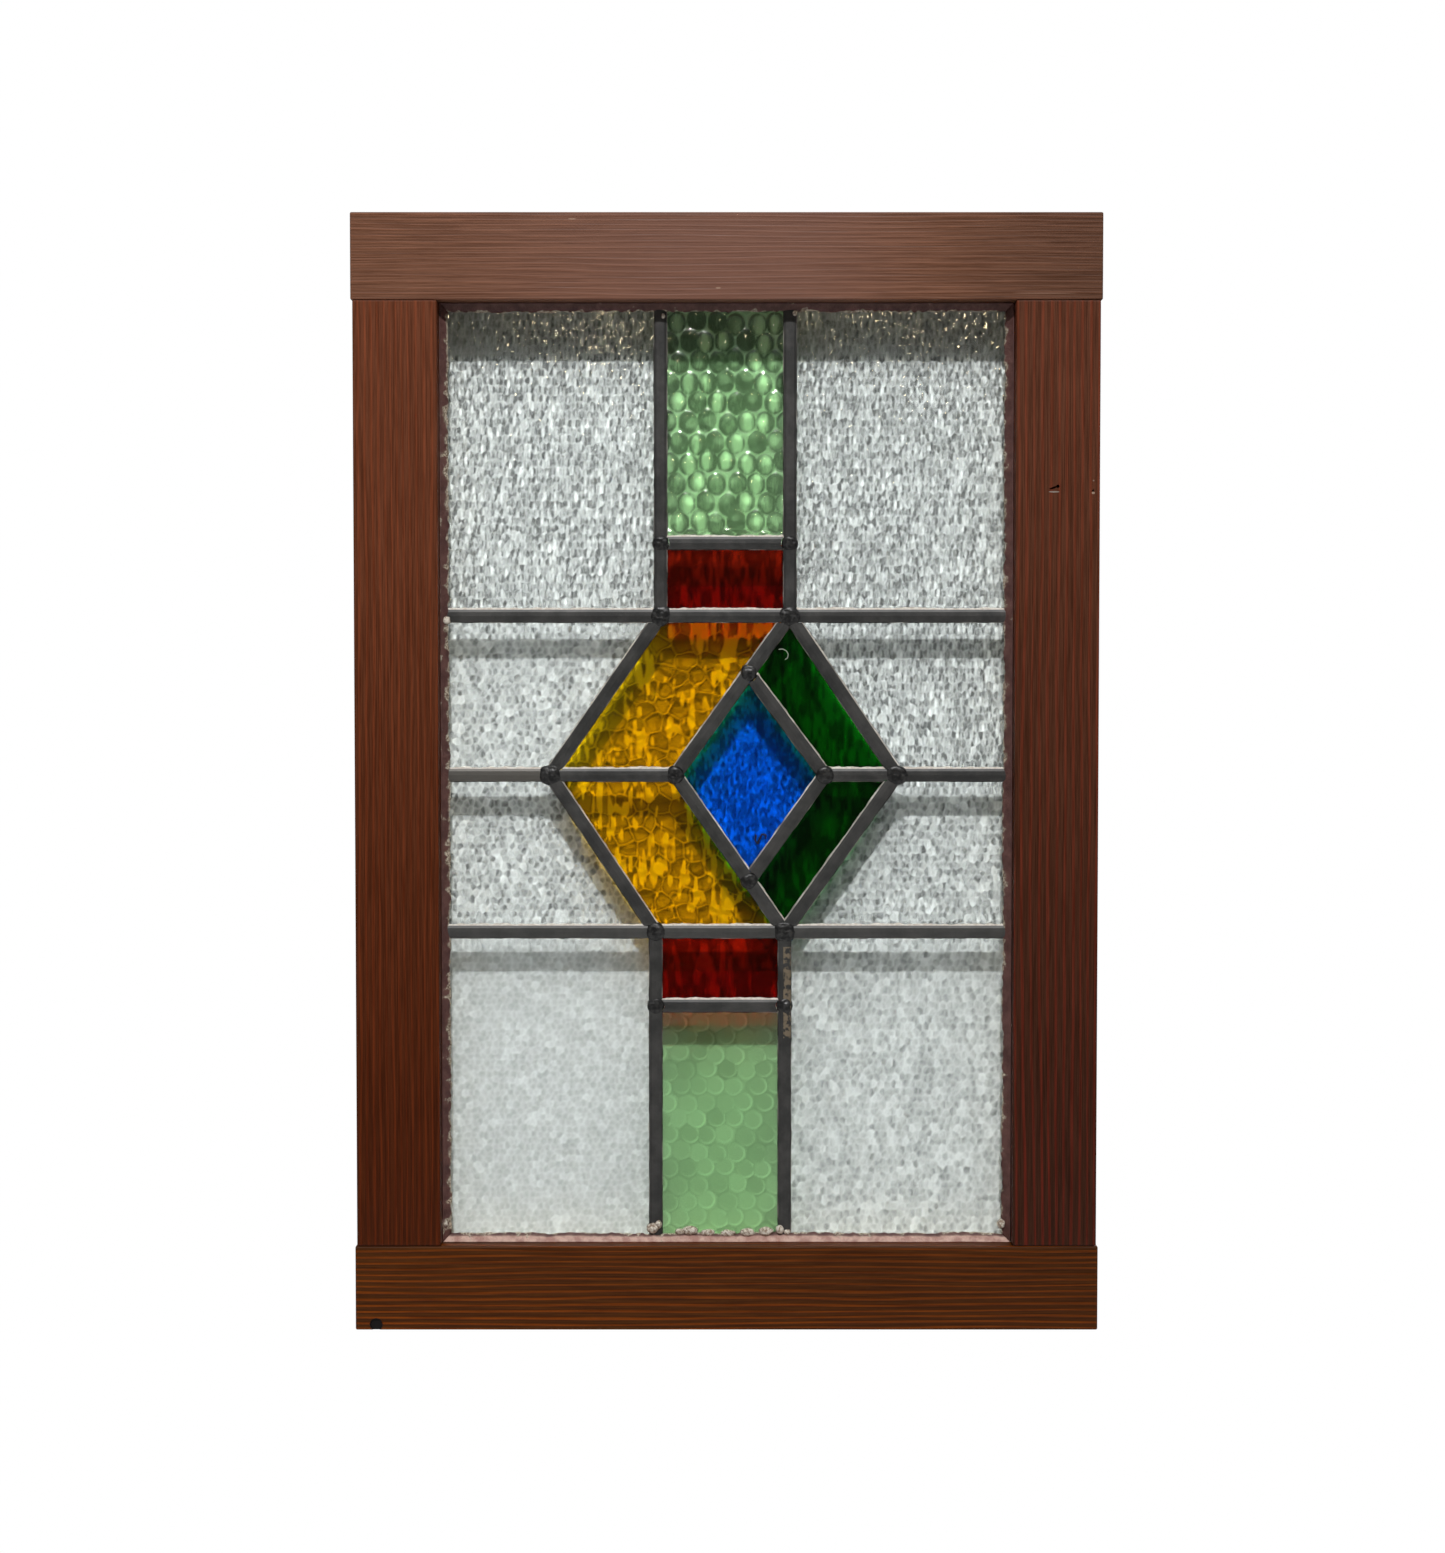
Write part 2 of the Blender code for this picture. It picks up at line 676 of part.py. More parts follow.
def lead_strips(parts, cutters, points):
    """Every length of came, cut to meet its neighbours and soldered at the joints."""
    section = came_section()
    strips = {}
    for name, (start, end) in STRIPS.items():
        length = (points[end] - points[start]).length
        matrix = along(points[start], points[end])
        strips[name] = prism(name, section, length, matrix, parts, "dark_lead")
    for joint, (carrier, meeting) in JOINTS.items():
        runs_through = joint not in STRIPS[carrier]
        ways = {name: other_end(name, joint, points) - points[joint] for name in meeting}
        if not runs_through:
            ways[carrier] = other_end(carrier, joint, points) - points[joint]
        for name, way in ways.items():
            if runs_through:
                cut_beside(strips[name], joint, points, carrier, way)
            for neighbour, other_way in ways.items():
                if neighbour != name:
                    cut_between(strips[name], joint, points, way, other_way)
    for joint, (carrier, meeting) in JOINTS.items():
        lump, clear = solder_tools(joint, points, cutters)
        for name in meeting:
            boolean(strips[name], clear, "DIFFERENCE")
        boolean(strips[carrier], lump, "UNION")


def frame_lines():
    """The four edges of the panel, inside the rebate, as pairs of points."""
    x = SIGHT_X + PANE_ENTRY
    low = SIGHT_BOTTOM - PANE_ENTRY
    high = SIGHT_TOP + PANE_ENTRY
    return {
        "frame_bottom": (Vector((-x, low)), Vector((x, low))),
        "frame_right": (Vector((x, low)), Vector((x, high))),
        "frame_top": (Vector((x, high)), Vector((-x, high))),
        "frame_left": (Vector((-x, high)), Vector((-x, low))),
    }


def moved_inward(line, middle, distance):
    """The line moved towards a point inside the pane."""
    start, end = line
    way = (end - start).normalized()
    side = Vector((-way.y, way.x))
    if side.dot(middle - start) < 0:
        side = -side
    return (start + side * distance, end + side * distance)


def glass_panes(parts, points):
    """Flat panes that reach into the channels of the lead and into the rebate."""
    edges = frame_lines()
    lines = dict(edges)
    for name, (start, end) in STRIPS.items():
        lines[name] = (points[start], points[end])
    face_on = Matrix.Translation((0, GLASS_Y, 0)) @ Matrix.Rotation(pi / 2, 4, "X")
    for name, (glass, sides) in PANES.items():
        round_it = list(zip(sides, sides[1:] + sides[:1]))
        rough = [crossing(lines[one], lines[two]) for one, two in round_it]
        middle = sum(rough, Vector((0, 0))) / len(rough)
        inner = {
            side: moved_inward(lines[side], middle, 0.0 if side in edges else PANE_INSET)
            for side in sides
        }
        corners = [crossing(inner[one], inner[two]) for one, two in round_it]
        outline = [(corner.x, corner.y) for corner in corners]
        prism(name, outline, GLASS_THICKNESS, face_on, parts, glass)


def front_putty_section():
    """The front putty as inward distance from the wood and depth from the frame's front."""
    bed_front = LIP_DEPTH + TOUCH_GAP
    bed_back = GLASS_FRONT - TOUCH_GAP
    return [
        (TOUCH_GAP, LIP_DEPTH - FRONT_PUTTY_RISE),
        (FRONT_PUTTY_WIDTH, GLASS_FRONT - FRONT_PUTTY_TOE),
        (FRONT_PUTTY_WIDTH, bed_back),
        (-PANE_ENTRY, bed_back),
        (-PANE_ENTRY, bed_front),
        (TOUCH_GAP, bed_front),
    ]


def back_putty_section():
    """The back putty as inward distance from the wood's edge and depth from the front."""
    wall = -REBATE_WIDTH + TOUCH_GAP
    base = GLASS_BACK + TOUCH_GAP
    return [
        (wall, base),
        (BACK_PUTTY_OVERHANG, base),
        (BACK_PUTTY_OVERHANG, GLASS_BACK + BACK_PUTTY_TOE),
        (wall, FRAME_DEPTH - BACK_PUTTY_SET_BACK),
    ]


def came_spaces(cutters, points):
    """Clearance blocks round the ends of the strips, by the side of the frame that they reach."""
    half = CAME_FACE / 2 + TOUCH_GAP
    reach = CAME_ENTRY + max(FRONT_PUTTY_WIDTH, BACK_PUTTY_OVERHANG) + CUTTER_OVERRUN
    ends = {
        "left": ("upper_line_left", "middle_line_left", "lower_line_left"),
        "right": ("upper_line_right", "middle_line_right", "lower_line_right"),
        "top": ("top_left", "top_right"),
        "bottom": ("bottom_left", "bottom_right"),
    }
    outward = {"left": (-1, 0), "right": (1, 0), "top": (0, 1), "bottom": (0, -1)}
    deep = CAME_HALF_DEPTH + TOUCH_GAP
    spaces = {}
    for side, names in ends.items():
        way = Vector(outward[side])
        across = Vector((way.y, way.x))
        spaces[side] = []
        for name in names:
            outer = points[name] + way * TOUCH_GAP + across * half
            inner = points[name] - way * reach - across * half
            low = (min(outer.x, inner.x), GLASS_Y - deep, min(outer.y, inner.y))
            high = (max(outer.x, inner.x), GLASS_Y + deep, max(outer.y, inner.y))
            space = box("space_" + name, low, high, cutters)
            hide_as_cutter(space)
            spaces[side].append(space)
    return spaces


def putty_runs(parts, cutters, points):
    """Four runs of putty in front and four behind, mitred at the corners."""
    spaces = came_spaces(cutters, points)
    depth = Vector((0, 1, 0))
    inward = {"left": (1, 0, 0), "right": (-1, 0, 0), "top": (0, 0, -1), "bottom": (0, 0, 1)}
    middle = Vector((0, FRONT_Y, SIGHT_MIDDLE))
    half_height = (SIGHT_TOP - SIGHT_BOTTOM) / 2
    for side, way in inward.items():
        across = Vector(way)
        to_edge = SIGHT_X if side in ("left", "right") else half_height
        to_end = half_height if side in ("left", "right") else SIGHT_X
        run = across.cross(depth)
        turn = Matrix((across, depth, run)).transposed().to_4x4()
        matrix = Matrix.Translation(middle - across * to_edge) @ turn
        length = 2 * (to_end + REBATE_WIDTH)
        rows = (
            ("putty_front_" + side, front_putty_section(), "painted_putty"),
            ("putty_back_" + side, back_putty_section(), "bare_putty"),
        )
        for name, section, material in rows:
            putty = prism(name, section, length, matrix, parts, material)
            for end in (-1, 1):
                corner = middle - across * to_edge + run * end * to_end
                keep = -across - run * end
                trim(putty, corner + keep.normalized() * (TOUCH_GAP / 2), keep)
            for space in spaces[side]:
                boolean(putty, space, "DIFFERENCE")


def main():
    clear_scene()
    parts = new_collection(PARTS_NAME)
    cutters = new_collection(CUTTERS_NAME)
    points = pattern_points()
    frame_pieces(parts, cutters)
    putty_runs(parts, cutters, points)
    glass_panes(parts, points)
    lead_strips(parts, cutters, points)


main()
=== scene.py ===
# %% [markdown]
# # A leaded stained glass window
#
# The window is a small leaded light in a stained softwood frame. This file dresses the plain
# solids of the frame, the lead and the panes with the surfaces that a person sees: hammered and
# streaky glass, darkened lead with solder on its joints, cement beside the lead, painted putty and
# straight-grained wood. Every piece is worked out in metres in the solids' own frame, where X runs
# across the window, +Z is up and the front faces -Y.

# %% Load the solids
from math import cos, pi, radians, sin

import bmesh
import bpy
import numpy as np
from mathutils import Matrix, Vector


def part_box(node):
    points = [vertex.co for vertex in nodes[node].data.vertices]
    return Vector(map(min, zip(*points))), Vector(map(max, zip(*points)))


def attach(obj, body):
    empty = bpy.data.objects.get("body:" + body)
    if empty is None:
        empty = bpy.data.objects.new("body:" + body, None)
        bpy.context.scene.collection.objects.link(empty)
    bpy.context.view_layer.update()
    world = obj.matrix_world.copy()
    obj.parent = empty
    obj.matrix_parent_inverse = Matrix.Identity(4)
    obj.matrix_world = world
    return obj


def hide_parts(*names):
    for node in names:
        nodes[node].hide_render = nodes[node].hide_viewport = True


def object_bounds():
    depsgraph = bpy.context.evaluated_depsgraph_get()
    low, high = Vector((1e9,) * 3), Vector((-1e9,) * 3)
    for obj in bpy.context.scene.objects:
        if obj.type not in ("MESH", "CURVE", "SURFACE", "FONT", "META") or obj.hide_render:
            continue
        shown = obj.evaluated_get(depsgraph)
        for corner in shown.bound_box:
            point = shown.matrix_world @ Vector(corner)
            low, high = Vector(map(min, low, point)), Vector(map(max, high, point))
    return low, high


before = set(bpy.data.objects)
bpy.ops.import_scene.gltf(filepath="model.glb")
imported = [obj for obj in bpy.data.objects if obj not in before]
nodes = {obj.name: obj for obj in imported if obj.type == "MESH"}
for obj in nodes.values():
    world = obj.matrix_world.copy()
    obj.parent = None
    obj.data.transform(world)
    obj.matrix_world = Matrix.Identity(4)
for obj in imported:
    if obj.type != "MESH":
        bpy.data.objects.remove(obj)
solid_low, solid_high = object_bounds()
print("solids", len(nodes), "from", tuple(solid_low), "to", tuple(solid_high))

# %% [markdown]
# ## The camera
#
# The picture was taken square on, from a little above the middle of the window. The camera's place
# and lens come from the four corners of the frame and their size in the picture. Blender's sensor
# width is that of the picture's long side, which here is its height.

# %% Camera
CAMERA_PLACE = (-0.0026, -1.450, 0.4029)
CAMERA_TILT = radians(1.903)
LENS_MM = 52.15
SENSOR_MM = 36.0

camera_data = bpy.data.cameras.new("camera")
camera_data.lens = LENS_MM
camera_data.sensor_width = SENSOR_MM
camera = bpy.data.objects.new("camera", camera_data)
camera.location = CAMERA_PLACE
camera.rotation_euler = (pi / 2 - CAMERA_TILT, 0.0, 0.0)
bpy.context.scene.collection.objects.link(camera)
bpy.context.scene.camera = camera
bpy.context.scene.view_settings.view_transform = "Standard"
print("camera at", CAMERA_PLACE, "lens", LENS_MM, "mm")

# %% [markdown]
# ## Measures of the solids
#
# Everything made here lies on the solids, so its place is read from them: the sight opening
# between the wooden members, the two faces of the glass, the face of the lead, and how far a pane
# reaches under the lead.

# %% Measures
WOOD_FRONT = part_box("left_stile")[0].y
WOOD_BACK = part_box("left_stile")[1].y
SIGHT_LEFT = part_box("left_stile")[1].x
SIGHT_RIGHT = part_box("right_stile")[0].x
SIGHT_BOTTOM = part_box("bottom_rail")[1].z
SIGHT_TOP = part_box("top_rail")[0].z
GLASS_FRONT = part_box("pane_clear_top_left")[0].y
GLASS_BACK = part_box("pane_clear_top_left")[1].y
CAME_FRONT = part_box("came_upper_bar")[0].y
CAME_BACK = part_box("came_upper_bar")[1].y
CAME_HALF = (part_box("came_upper_bar")[1].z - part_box("came_upper_bar")[0].z) / 2
HEART_GAP = (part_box("pane_pale_green_top")[0].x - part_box("pane_clear_top_left")[1].x) / 2
GLASS_MIDDLE = (GLASS_FRONT + GLASS_BACK) / 2
MM = 0.001
print("sight opening", SIGHT_LEFT, SIGHT_RIGHT, SIGHT_BOTTOM, SIGHT_TOP)
print("glass from", GLASS_FRONT, "to", GLASS_BACK)
print("lead from", CAME_FRONT, "to", CAME_BACK, "half face", CAME_HALF)

# %% [markdown]
# ## Soft noise and jittered cells
#
# Rolled glass takes its surface from a roller that was cut with a pattern of cells. A jittered
# honeycomb gives such a pattern: every cell has a centre that is pushed a little off its place,
# and each point of the glass knows how far the nearest and the second nearest centres are. Soft
# noise gives the slow swells and streaks of drawn glass. Both work on whole arrays of points.


# %% Noise and cells
def soft_noise(x, z, size_x, size_z, seed):
    """Random values from -1 to 1 on a lattice of size_x by size_z, blended with 3t^2 - 2t^3 between."""
    u, v = x / size_x, z / size_z
    i, j = np.floor(u).astype(int), np.floor(v).astype(int)
    table = np.random.default_rng(seed).uniform(-1, 1, (257, 263))
    u, v = u - i, v - j
    u, v = u * u * (3 - 2 * u), v * v * (3 - 2 * v)

    def corner(di, dj):
        return table[(i + di) % 257, (j + dj) % 263]

    low = corner(0, 0) * (1 - u) + corner(1, 0) * u
    high = corner(0, 1) * (1 - u) + corner(1, 1) * u
    return low * (1 - v) + high * v


ROW_RATIO = 0.866


def cells(x, z, pitch, jitter, seed):
    """Honeycomb rows a pitch apart, with each centre pushed by up to the jitter times the pitch.

    Returns the distances to the nearest and second nearest centres, the nearest centre's offset
    in X and Z, and two random numbers that belong to the nearest cell."""
    rows = (337, 331)
    random = np.random.default_rng(seed)
    push = random.uniform(-jitter, jitter, (*rows, 2))
    luck = random.uniform(0, 1, (*rows, 2))
    row = np.floor(z / (pitch * ROW_RATIO)).astype(int)
    first = np.full(x.shape, 1e9)
    second = np.full(x.shape, 1e9)
    keep = [np.zeros(x.shape) for _ in range(4)]
    for dj in (-1, 0, 1):
        j = row + dj
        shift = 0.5 * (j % 2)
        column = np.floor(x / pitch - shift).astype(int)
        for di in (-1, 0, 1):
            i = column + di
            a, b = j % rows[0], i % rows[1]
            dx = x - (i + shift + 0.5 + push[a, b, 0]) * pitch
            dz = z - (j + 0.5 + push[a, b, 1]) * pitch * ROW_RATIO
            far = np.hypot(dx, dz)
            nearer = far < first
            second = np.where(nearer, first, np.minimum(second, far))
            first = np.where(nearer, far, first)
            for slot, value in enumerate((dx, dz, luck[a, b, 0], luck[a, b, 1])):
                keep[slot] = np.where(nearer, value, keep[slot])
    return first, second, keep


print("noise sample", soft_noise(np.array([0.01]), np.array([0.02]), 0.004, 0.004, 1))

# %% [markdown]
# ## The reliefs of the glasses
#
# Each relief says how far the glass's face lies behind its highest points. Hammered glass has
# small domes with sharp valleys, and each dome leans its own way, so that neighbours never show
# the same patch of light. The pale green is made of round beads, the amber of large flat cells
# with thin grooves, and the red, blue and dark green are drawn glasses with soft upright ripples.
# A relief comes with a tone, which scales the colour seen through the glass. Most of it is painted
# light and shade, standing for the bright and dull spots of the lit board that the small lenses
# show and for their glints; the rest differs at random from cell to cell. In hammered glass five
# things make a tone, each with its share below: a painted bright side of each cell, a painted
# bright streak, the cell's own random luck, a few painted white sparkles and the valleys, painted
# pale. LUCK_LOST is how much of their luck the tall cells give up for their streaks, and
# SHADED_CALM is how much of the contrast is gone where the lamp doesn't reach the board, where the
# tone is a painted shade.


# %% Relief of hammered glass
HAMMER_JITTER = 0.30
PAINTED_LIT_SIDE_SHARE = 0.23
PAINTED_STREAK_SHARE = 0.68
LUCK_SHARE = 0.32
LUCK_LOST = 0.22
PAINTED_SPARKLE_SHARE = 0.16
VALLEY_SHARE = 0.20
SHADED_TONE = 0.27
SHADED_CALM = 0.6


def near(distance, width):
    """A soft line: 1 where the distance is zero, falling as exp(-(distance / width)^2)."""
    return np.exp(-((distance / width) ** 2))


def rising(value, low, high):
    """A smooth step from 0 to 1 between two values."""
    share = np.clip((value - low) / (high - low), 0, 1)
    return share * share * (3 - 2 * share)


def hammered(x, z, pitch, stretch, depth, level, contrast, shade, seed):
    """Domes: depth times the squared share of the way from a cell's centre, plus a small lean.

    The dome curves more across than upright, so it draws the light into upright streaks. The shade
    is 1 where the lamp's light doesn't reach the backdrop behind, and there the tone is a painted
    shade: one low level with calm cells.

    Tone, painted into the glass's colour: the level times 1 + contrast * t, where t is the sum of
    what makes a cell differ from its neighbours: a painted bright side, pale valleys, a painted
    sparkle in a few cells, in the tall ones a painted bright upright streak in most, and each
    cell's random luck."""
    first, second, (dx, dz, luck_a, luck_b) = cells(x, z / stretch, pitch, HAMMER_JITTER, seed)
    dome = depth * (0.6 + 0.8 * luck_a) * (dx**2 + 0.35 * dz**2) / (0.5 * pitch) ** 2
    tilt = 0.65 * depth / MM * ((luck_a - 0.5) * dx + (luck_b - 0.5) * dz)
    angle = 2 * pi * luck_a
    toward = dx * np.cos(angle) + 0.6 * dz * np.sin(angle)
    # Painted light: each cell is brighter on one side, turned a random way.
    lit_side = rising(toward, -0.20 * pitch, 0.32 * pitch)
    # A painted bright upright streak, for the light that a tall cell gathers.
    painted_streak = near(dx - 0.22 * pitch * (2 * luck_a - 1), 0.16 * pitch) * near(dz, 0.42 * pitch)
    painted_streak = painted_streak * (0.4 + luck_a * luck_b)
    valley = near(second - first, 0.22 * pitch)
    tall = rising(stretch, 1.2, 1.4)
    tone = PAINTED_LIT_SIDE_SHARE * (lit_side - lit_side.mean()) + PAINTED_STREAK_SHARE * tall * (painted_streak - painted_streak.mean())
    tone = tone + (LUCK_SHARE - LUCK_LOST * tall) * (luck_b - 0.5)
    # Painted white sparkles in a few cells.
    tone = tone + PAINTED_SPARKLE_SHARE * (rising(luck_b, 0.86, 0.93) - 0.1)
    tone = tone + VALLEY_SHARE * (valley - valley.mean())
    # Painted shade: where shade is 1 the level drops to SHADED_TONE.
    level = level * (1 - shade) + SHADED_TONE * shade
    return dome + tilt, np.clip(level * (1 + contrast * (1 - SHADED_CALM * shade) * tone), 0.06, 1.07)


SAMPLE = np.meshgrid(np.arange(0, 60 * MM, 0.5 * MM), np.arange(0, 60 * MM, 0.5 * MM))


def tell(glass, relief):
    """Prints how deep a relief goes and between which values its tone lies."""
    sink, tone = relief
    levels = (round(tone.min(), 2), round(tone.max(), 2))
    print(glass, "relief", round(np.ptp(sink) / MM, 3), "mm, tone", *levels)


tell("hammered glass", hammered(*SAMPLE, 4.3 * MM, 1.4, 0.06 * MM, 0.6, 4.2, 0.0, 1))


# %% [markdown]
# The pale green sheets have round cells. In the upper one they stand out as tall beads, each a
# lens of its own: some have a painted bright upright blotch, for the light the lens gathers, and
# every bead has a painted dark ring where its side is steep, darkest on its upper side. In the
# lower one they are shallow, and only their rims show, as painted pale crescents.

# %% Reliefs of the round cells
BEAD_STRETCH = 1.2
BEAD_JITTER = 0.13
DIMPLE_JITTER = 0.16


def beaded(x, z, pitch, depth, seed):
    """Tall round beads: depth times s^2 + 0.9 s^8, where s is the share of the way to the bead's rim.

    Tone, painted light and shade: a bright upright blotch in some beads, a dark ring inside each
    rim that is darker on its upper side, and pale valleys."""
    first, second, (dx, dz, luck_a, luck_b) = cells(x, z / BEAD_STRETCH, pitch, BEAD_JITTER, seed)
    share = np.clip(first / (0.5 * pitch), 0, 1.12)
    bead = depth * (0.62 + 0.5 * luck_a) * (share**2 + 0.9 * share**8)
    lean = 0.3 * depth / MM * ((luck_a - 0.5) * dx + (luck_b - 0.5) * dz)
    fibre = soft_noise(x, z, 0.9 * MM, 3.8 * MM, seed + 1)
    # Painted light: a bright upright blotch in the luckier beads.
    painted_blotch = near(dx - 0.12 * pitch * (2 * luck_a - 1), 0.21 * pitch) * near(dz, 0.42 * pitch)
    painted_blotch = painted_blotch * rising(luck_b, 0.36, 0.76) * (1 + 0.40 * fibre)
    # Painted shade: a dark ring inside each rim, darkest on its upper side.
    painted_dark_ring = near(share - 0.87, 0.12) * (0.70 + 0.30 * np.clip(dz / (0.4 * pitch), -1, 1))
    valley = 0.45 * near(second - first, 0.05 * pitch) + 0.55 * rising(share, 0.97, 1.08)
    tone = 2.1 * (painted_blotch - 0.18) - 0.75 * painted_dark_ring + valley + 0.12 * fibre + 0.36 * (luck_a - 0.5)
    return bead + lean, np.clip(0.56 + tone, 0.14, 1.28)


def dimpled(x, z, pitch, depth, seed):
    """Flat round dimples: depth times s^2, so shallow that only painted pale rims tell them apart.

    Tone: a random level for each dimple, a painted highlight on one side of its rim and a slightly
    darker valley."""
    first, second, (dx, dz, luck_a, luck_b) = cells(x, z, pitch, DIMPLE_JITTER, seed)
    share = np.clip(first / (0.5 * pitch), 0, 1.12)
    # Painted highlight: the rim is paler on its lower right side.
    lit_crescent = 0.5 + 0.6 * (0.8 * dx - 0.6 * dz) / np.maximum(first, 1e-6)
    rim = near(share - 0.86, 0.10) * (0.3 + luck_b) * np.clip(lit_crescent, 0, 1)
    valley = near(second - first, 0.12 * pitch)
    return depth * luck_a * share**2, 0.54 + 0.28 * (luck_a - 0.5) + 0.48 * rim - 0.12 * valley


tell("beads", beaded(*SAMPLE, 12 * MM, 0.4 * MM, 1))
tell("dimples", dimpled(*SAMPLE, 12 * MM, 0.03 * MM, 1))


# %% [markdown]
# The amber sheets have large flat cells of uneven size. They could be broken up by a second, finer
# honeycomb, but noise is enough: it bends the grooves and gathers the painted glints in patches.


# %% Relief of the large cells
GROOVE_JITTER = 0.36


def grooved(x, z, pitch, depth, swell, seed):
    """Large cells: a groove where two cells are equally near, on swells as large as a cell.

    Tone: painted upright glints, gathered in patches, each cell painted lighter towards its lower
    side, a random level for each cell, and thin pale grooves beside darker banks."""
    wander = 1.1 * MM * soft_noise(x, z, 5 * MM, 5 * MM, seed + 2)
    first, second, (dx, dz, luck_a, luck_b) = cells(x + wander, z - wander, pitch, GROOVE_JITTER, seed)
    apart = second - first
    groove = depth * near(apart, 0.16 * pitch)
    swells = swell * (first / (0.5 * pitch)) ** 2 * (0.3 + luck_a)
    # Painted glints: bright upright streaks, gathered in patches.
    painted_glint = soft_noise(x, z, 2.8 * MM, 9 * MM, seed + 3) + 0.5 * soft_noise(x, z, 9 * MM, 14 * MM, seed + 4)
    fine = soft_noise(x, z, 1.3 * MM, 6 * MM, seed + 6)
    painted_glint = rising(painted_glint + 0.8 * (luck_b - 0.5) + 0.45 * fine, 0.22, 0.72)
    # Painted light: each cell lighter towards its lower side.
    painted_lit_low_side = np.clip(-dz / (0.5 * pitch), -1, 1)
    tone = 0.12 + 0.24 * luck_a + 2.0 * painted_glint + 0.16 * painted_lit_low_side + 0.50 * near(apart, 0.05 * pitch)
    tone = np.clip(tone - 0.26 * near(apart - 0.16 * pitch, 0.08 * pitch), 0.09, 1.6)
    return groove + swells + 0.02 * MM * soft_noise(x, z, 2.0 * MM, 8 * MM, seed + 3), tone


tell("large cells", grooved(*SAMPLE, 12 * MM, 0.06 * MM, 0.02 * MM, 1))


# %% [markdown]
# Drawn glass is pulled from the furnace and has no pattern, only soft ripples along the way it was
# drawn, which is upright here. Three sizes of noise, each longer than wide, give the ripples. The
# tone follows them, as streaks of darker and brighter colour.


# %% Relief of drawn glass
def drawn(x, z, width, length, depth, low, seed):
    """Upright ripples: soft noise that is longer than wide, in three sizes.

    Tone: from low up to 1 along the same ripples."""
    ripple = soft_noise(x, z, width, length, seed)
    finer = soft_noise(x, z, width * 0.53, length * 0.6, seed + 5)
    swell = soft_noise(x, z, width * 3.1, length * 2.3, seed + 9)
    flame = rising(0.8 * ripple + 0.45 * finer + 0.5 * swell, -0.35, 0.85)
    return depth * (1.5 + ripple + 0.5 * finer + 0.9 * swell), low + (1 - low) * flame


tell("drawn glass", drawn(*SAMPLE, 2.6 * MM, 9 * MM, 0.08 * MM, 0.14, 1))


# %% [markdown]
# Which relief each pane has. The sheets differ in the real window: the two tall clear panes at the
# top sparkle, and the ones at the bottom are calmer. So each clear sheet has its own row: how much
# taller than wide its cells are, their depth in millimetres, the level of the tone and its contrast.
# A drawn sheet has the width, length and depth of its ripples in millimetres, and its darkest tone.
#
# Two things depend on the height. Above SHADE_EDGE the top rail keeps the lamp's light off the
# board behind, and the clear glass there is painted with one calm low tone, SHADED_TONE, a painted
# shade. And a pane can't send on more than all the light behind it, which would cut off its
# brightest cells at plain white. So above the lower line of lead the clear sheets throw SPARKLE
# times more light on the board, and their tone is divided by the square of that, because the
# shader tints what is seen through glass by the square root of its colour. The two cancel out,
# and the brightest cells have room.

# %% Relief of each pane
HAMMER_PITCH = 4.3 * MM
SHADE_EDGE = SIGHT_TOP - 0.0336
BEAD_PITCH = 12.3 * MM
BEAD_DEPTH = 0.42 * MM
DIMPLE_DEPTH = 0.03 * MM
AMBER_PITCH = 12.0 * MM
GROOVE_DEPTH = 0.06 * MM
AMBER_SWELL = 0.02 * MM
SPARKLE = 1.35
LOWER_LINE = (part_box("came_lower_line")[0].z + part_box("came_lower_line")[1].z) / 2
CLEAR_SHEETS = {
    "top_left": (1.40, 0.060, 0.61, 4.2),
    "top_right": (1.40, 0.062, 0.51, 4.2),
    "upper_left": (1.20, 0.038, 0.79, 2.7),
    "upper_right": (1.36, 0.055, 0.60, 4.2),
    "lower_left": (1.20, 0.038, 0.78, 2.8),
    "lower_right": (1.28, 0.046, 0.68, 3.0),
    "bottom_left": (1.05, 0.012, 0.65, 1.3),
    "bottom_right": (1.25, 0.026, 0.61, 2.2),
}
DRAWN_SHEETS = {
    "blue": (1.7, 3.0, 0.060, 0.16),
    "red": (2.6, 9.0, 0.085, 0.14),
    "dark_green": (2.4, 8.0, 0.075, 0.12),
}


def sparkle_at(z):
    """How much more of the lamp's light the clear sheets throw: SPARKLE above the lower line, else 1."""
    return 1 + (SPARKLE - 1) * rising(z, LOWER_LINE - MM, LOWER_LINE + MM)


def relief_of(name, x, z):
    """The relief and the tone of a pane, named for its glass and place, at these points."""
    seed = sum(ord(letter) * (place + 1) for place, letter in enumerate(name))
    if name.startswith("clear_"):
        stretch, depth, level, contrast = CLEAR_SHEETS[name.removeprefix("clear_")]
        level = level / sparkle_at(z) ** 2
        # Painted shade of the top rail, on the two top clear sheets.
        shade = rising(z, SHADE_EDGE - MM, SHADE_EDGE + MM) if "top_" in name else 0.0
        return hammered(x, z, HAMMER_PITCH, stretch, depth * MM, level, contrast, shade, seed)
    if name == "pale_green_top":
        return beaded(x, z, BEAD_PITCH, BEAD_DEPTH, seed)
    if name == "pale_green_bottom":
        return dimpled(x, z, BEAD_PITCH, DIMPLE_DEPTH, seed)
    if "amber" in name:
        return grooved(x, z, AMBER_PITCH, GROOVE_DEPTH, AMBER_SWELL, seed)
    width, length, depth, low = next(DRAWN_SHEETS[glass] for glass in DRAWN_SHEETS if glass in name)
    return drawn(x, z, width * MM, length * MM, depth * MM, low, seed)


print("clear sheets", list(CLEAR_SHEETS), "lower line of lead at", round(LOWER_LINE, 4))


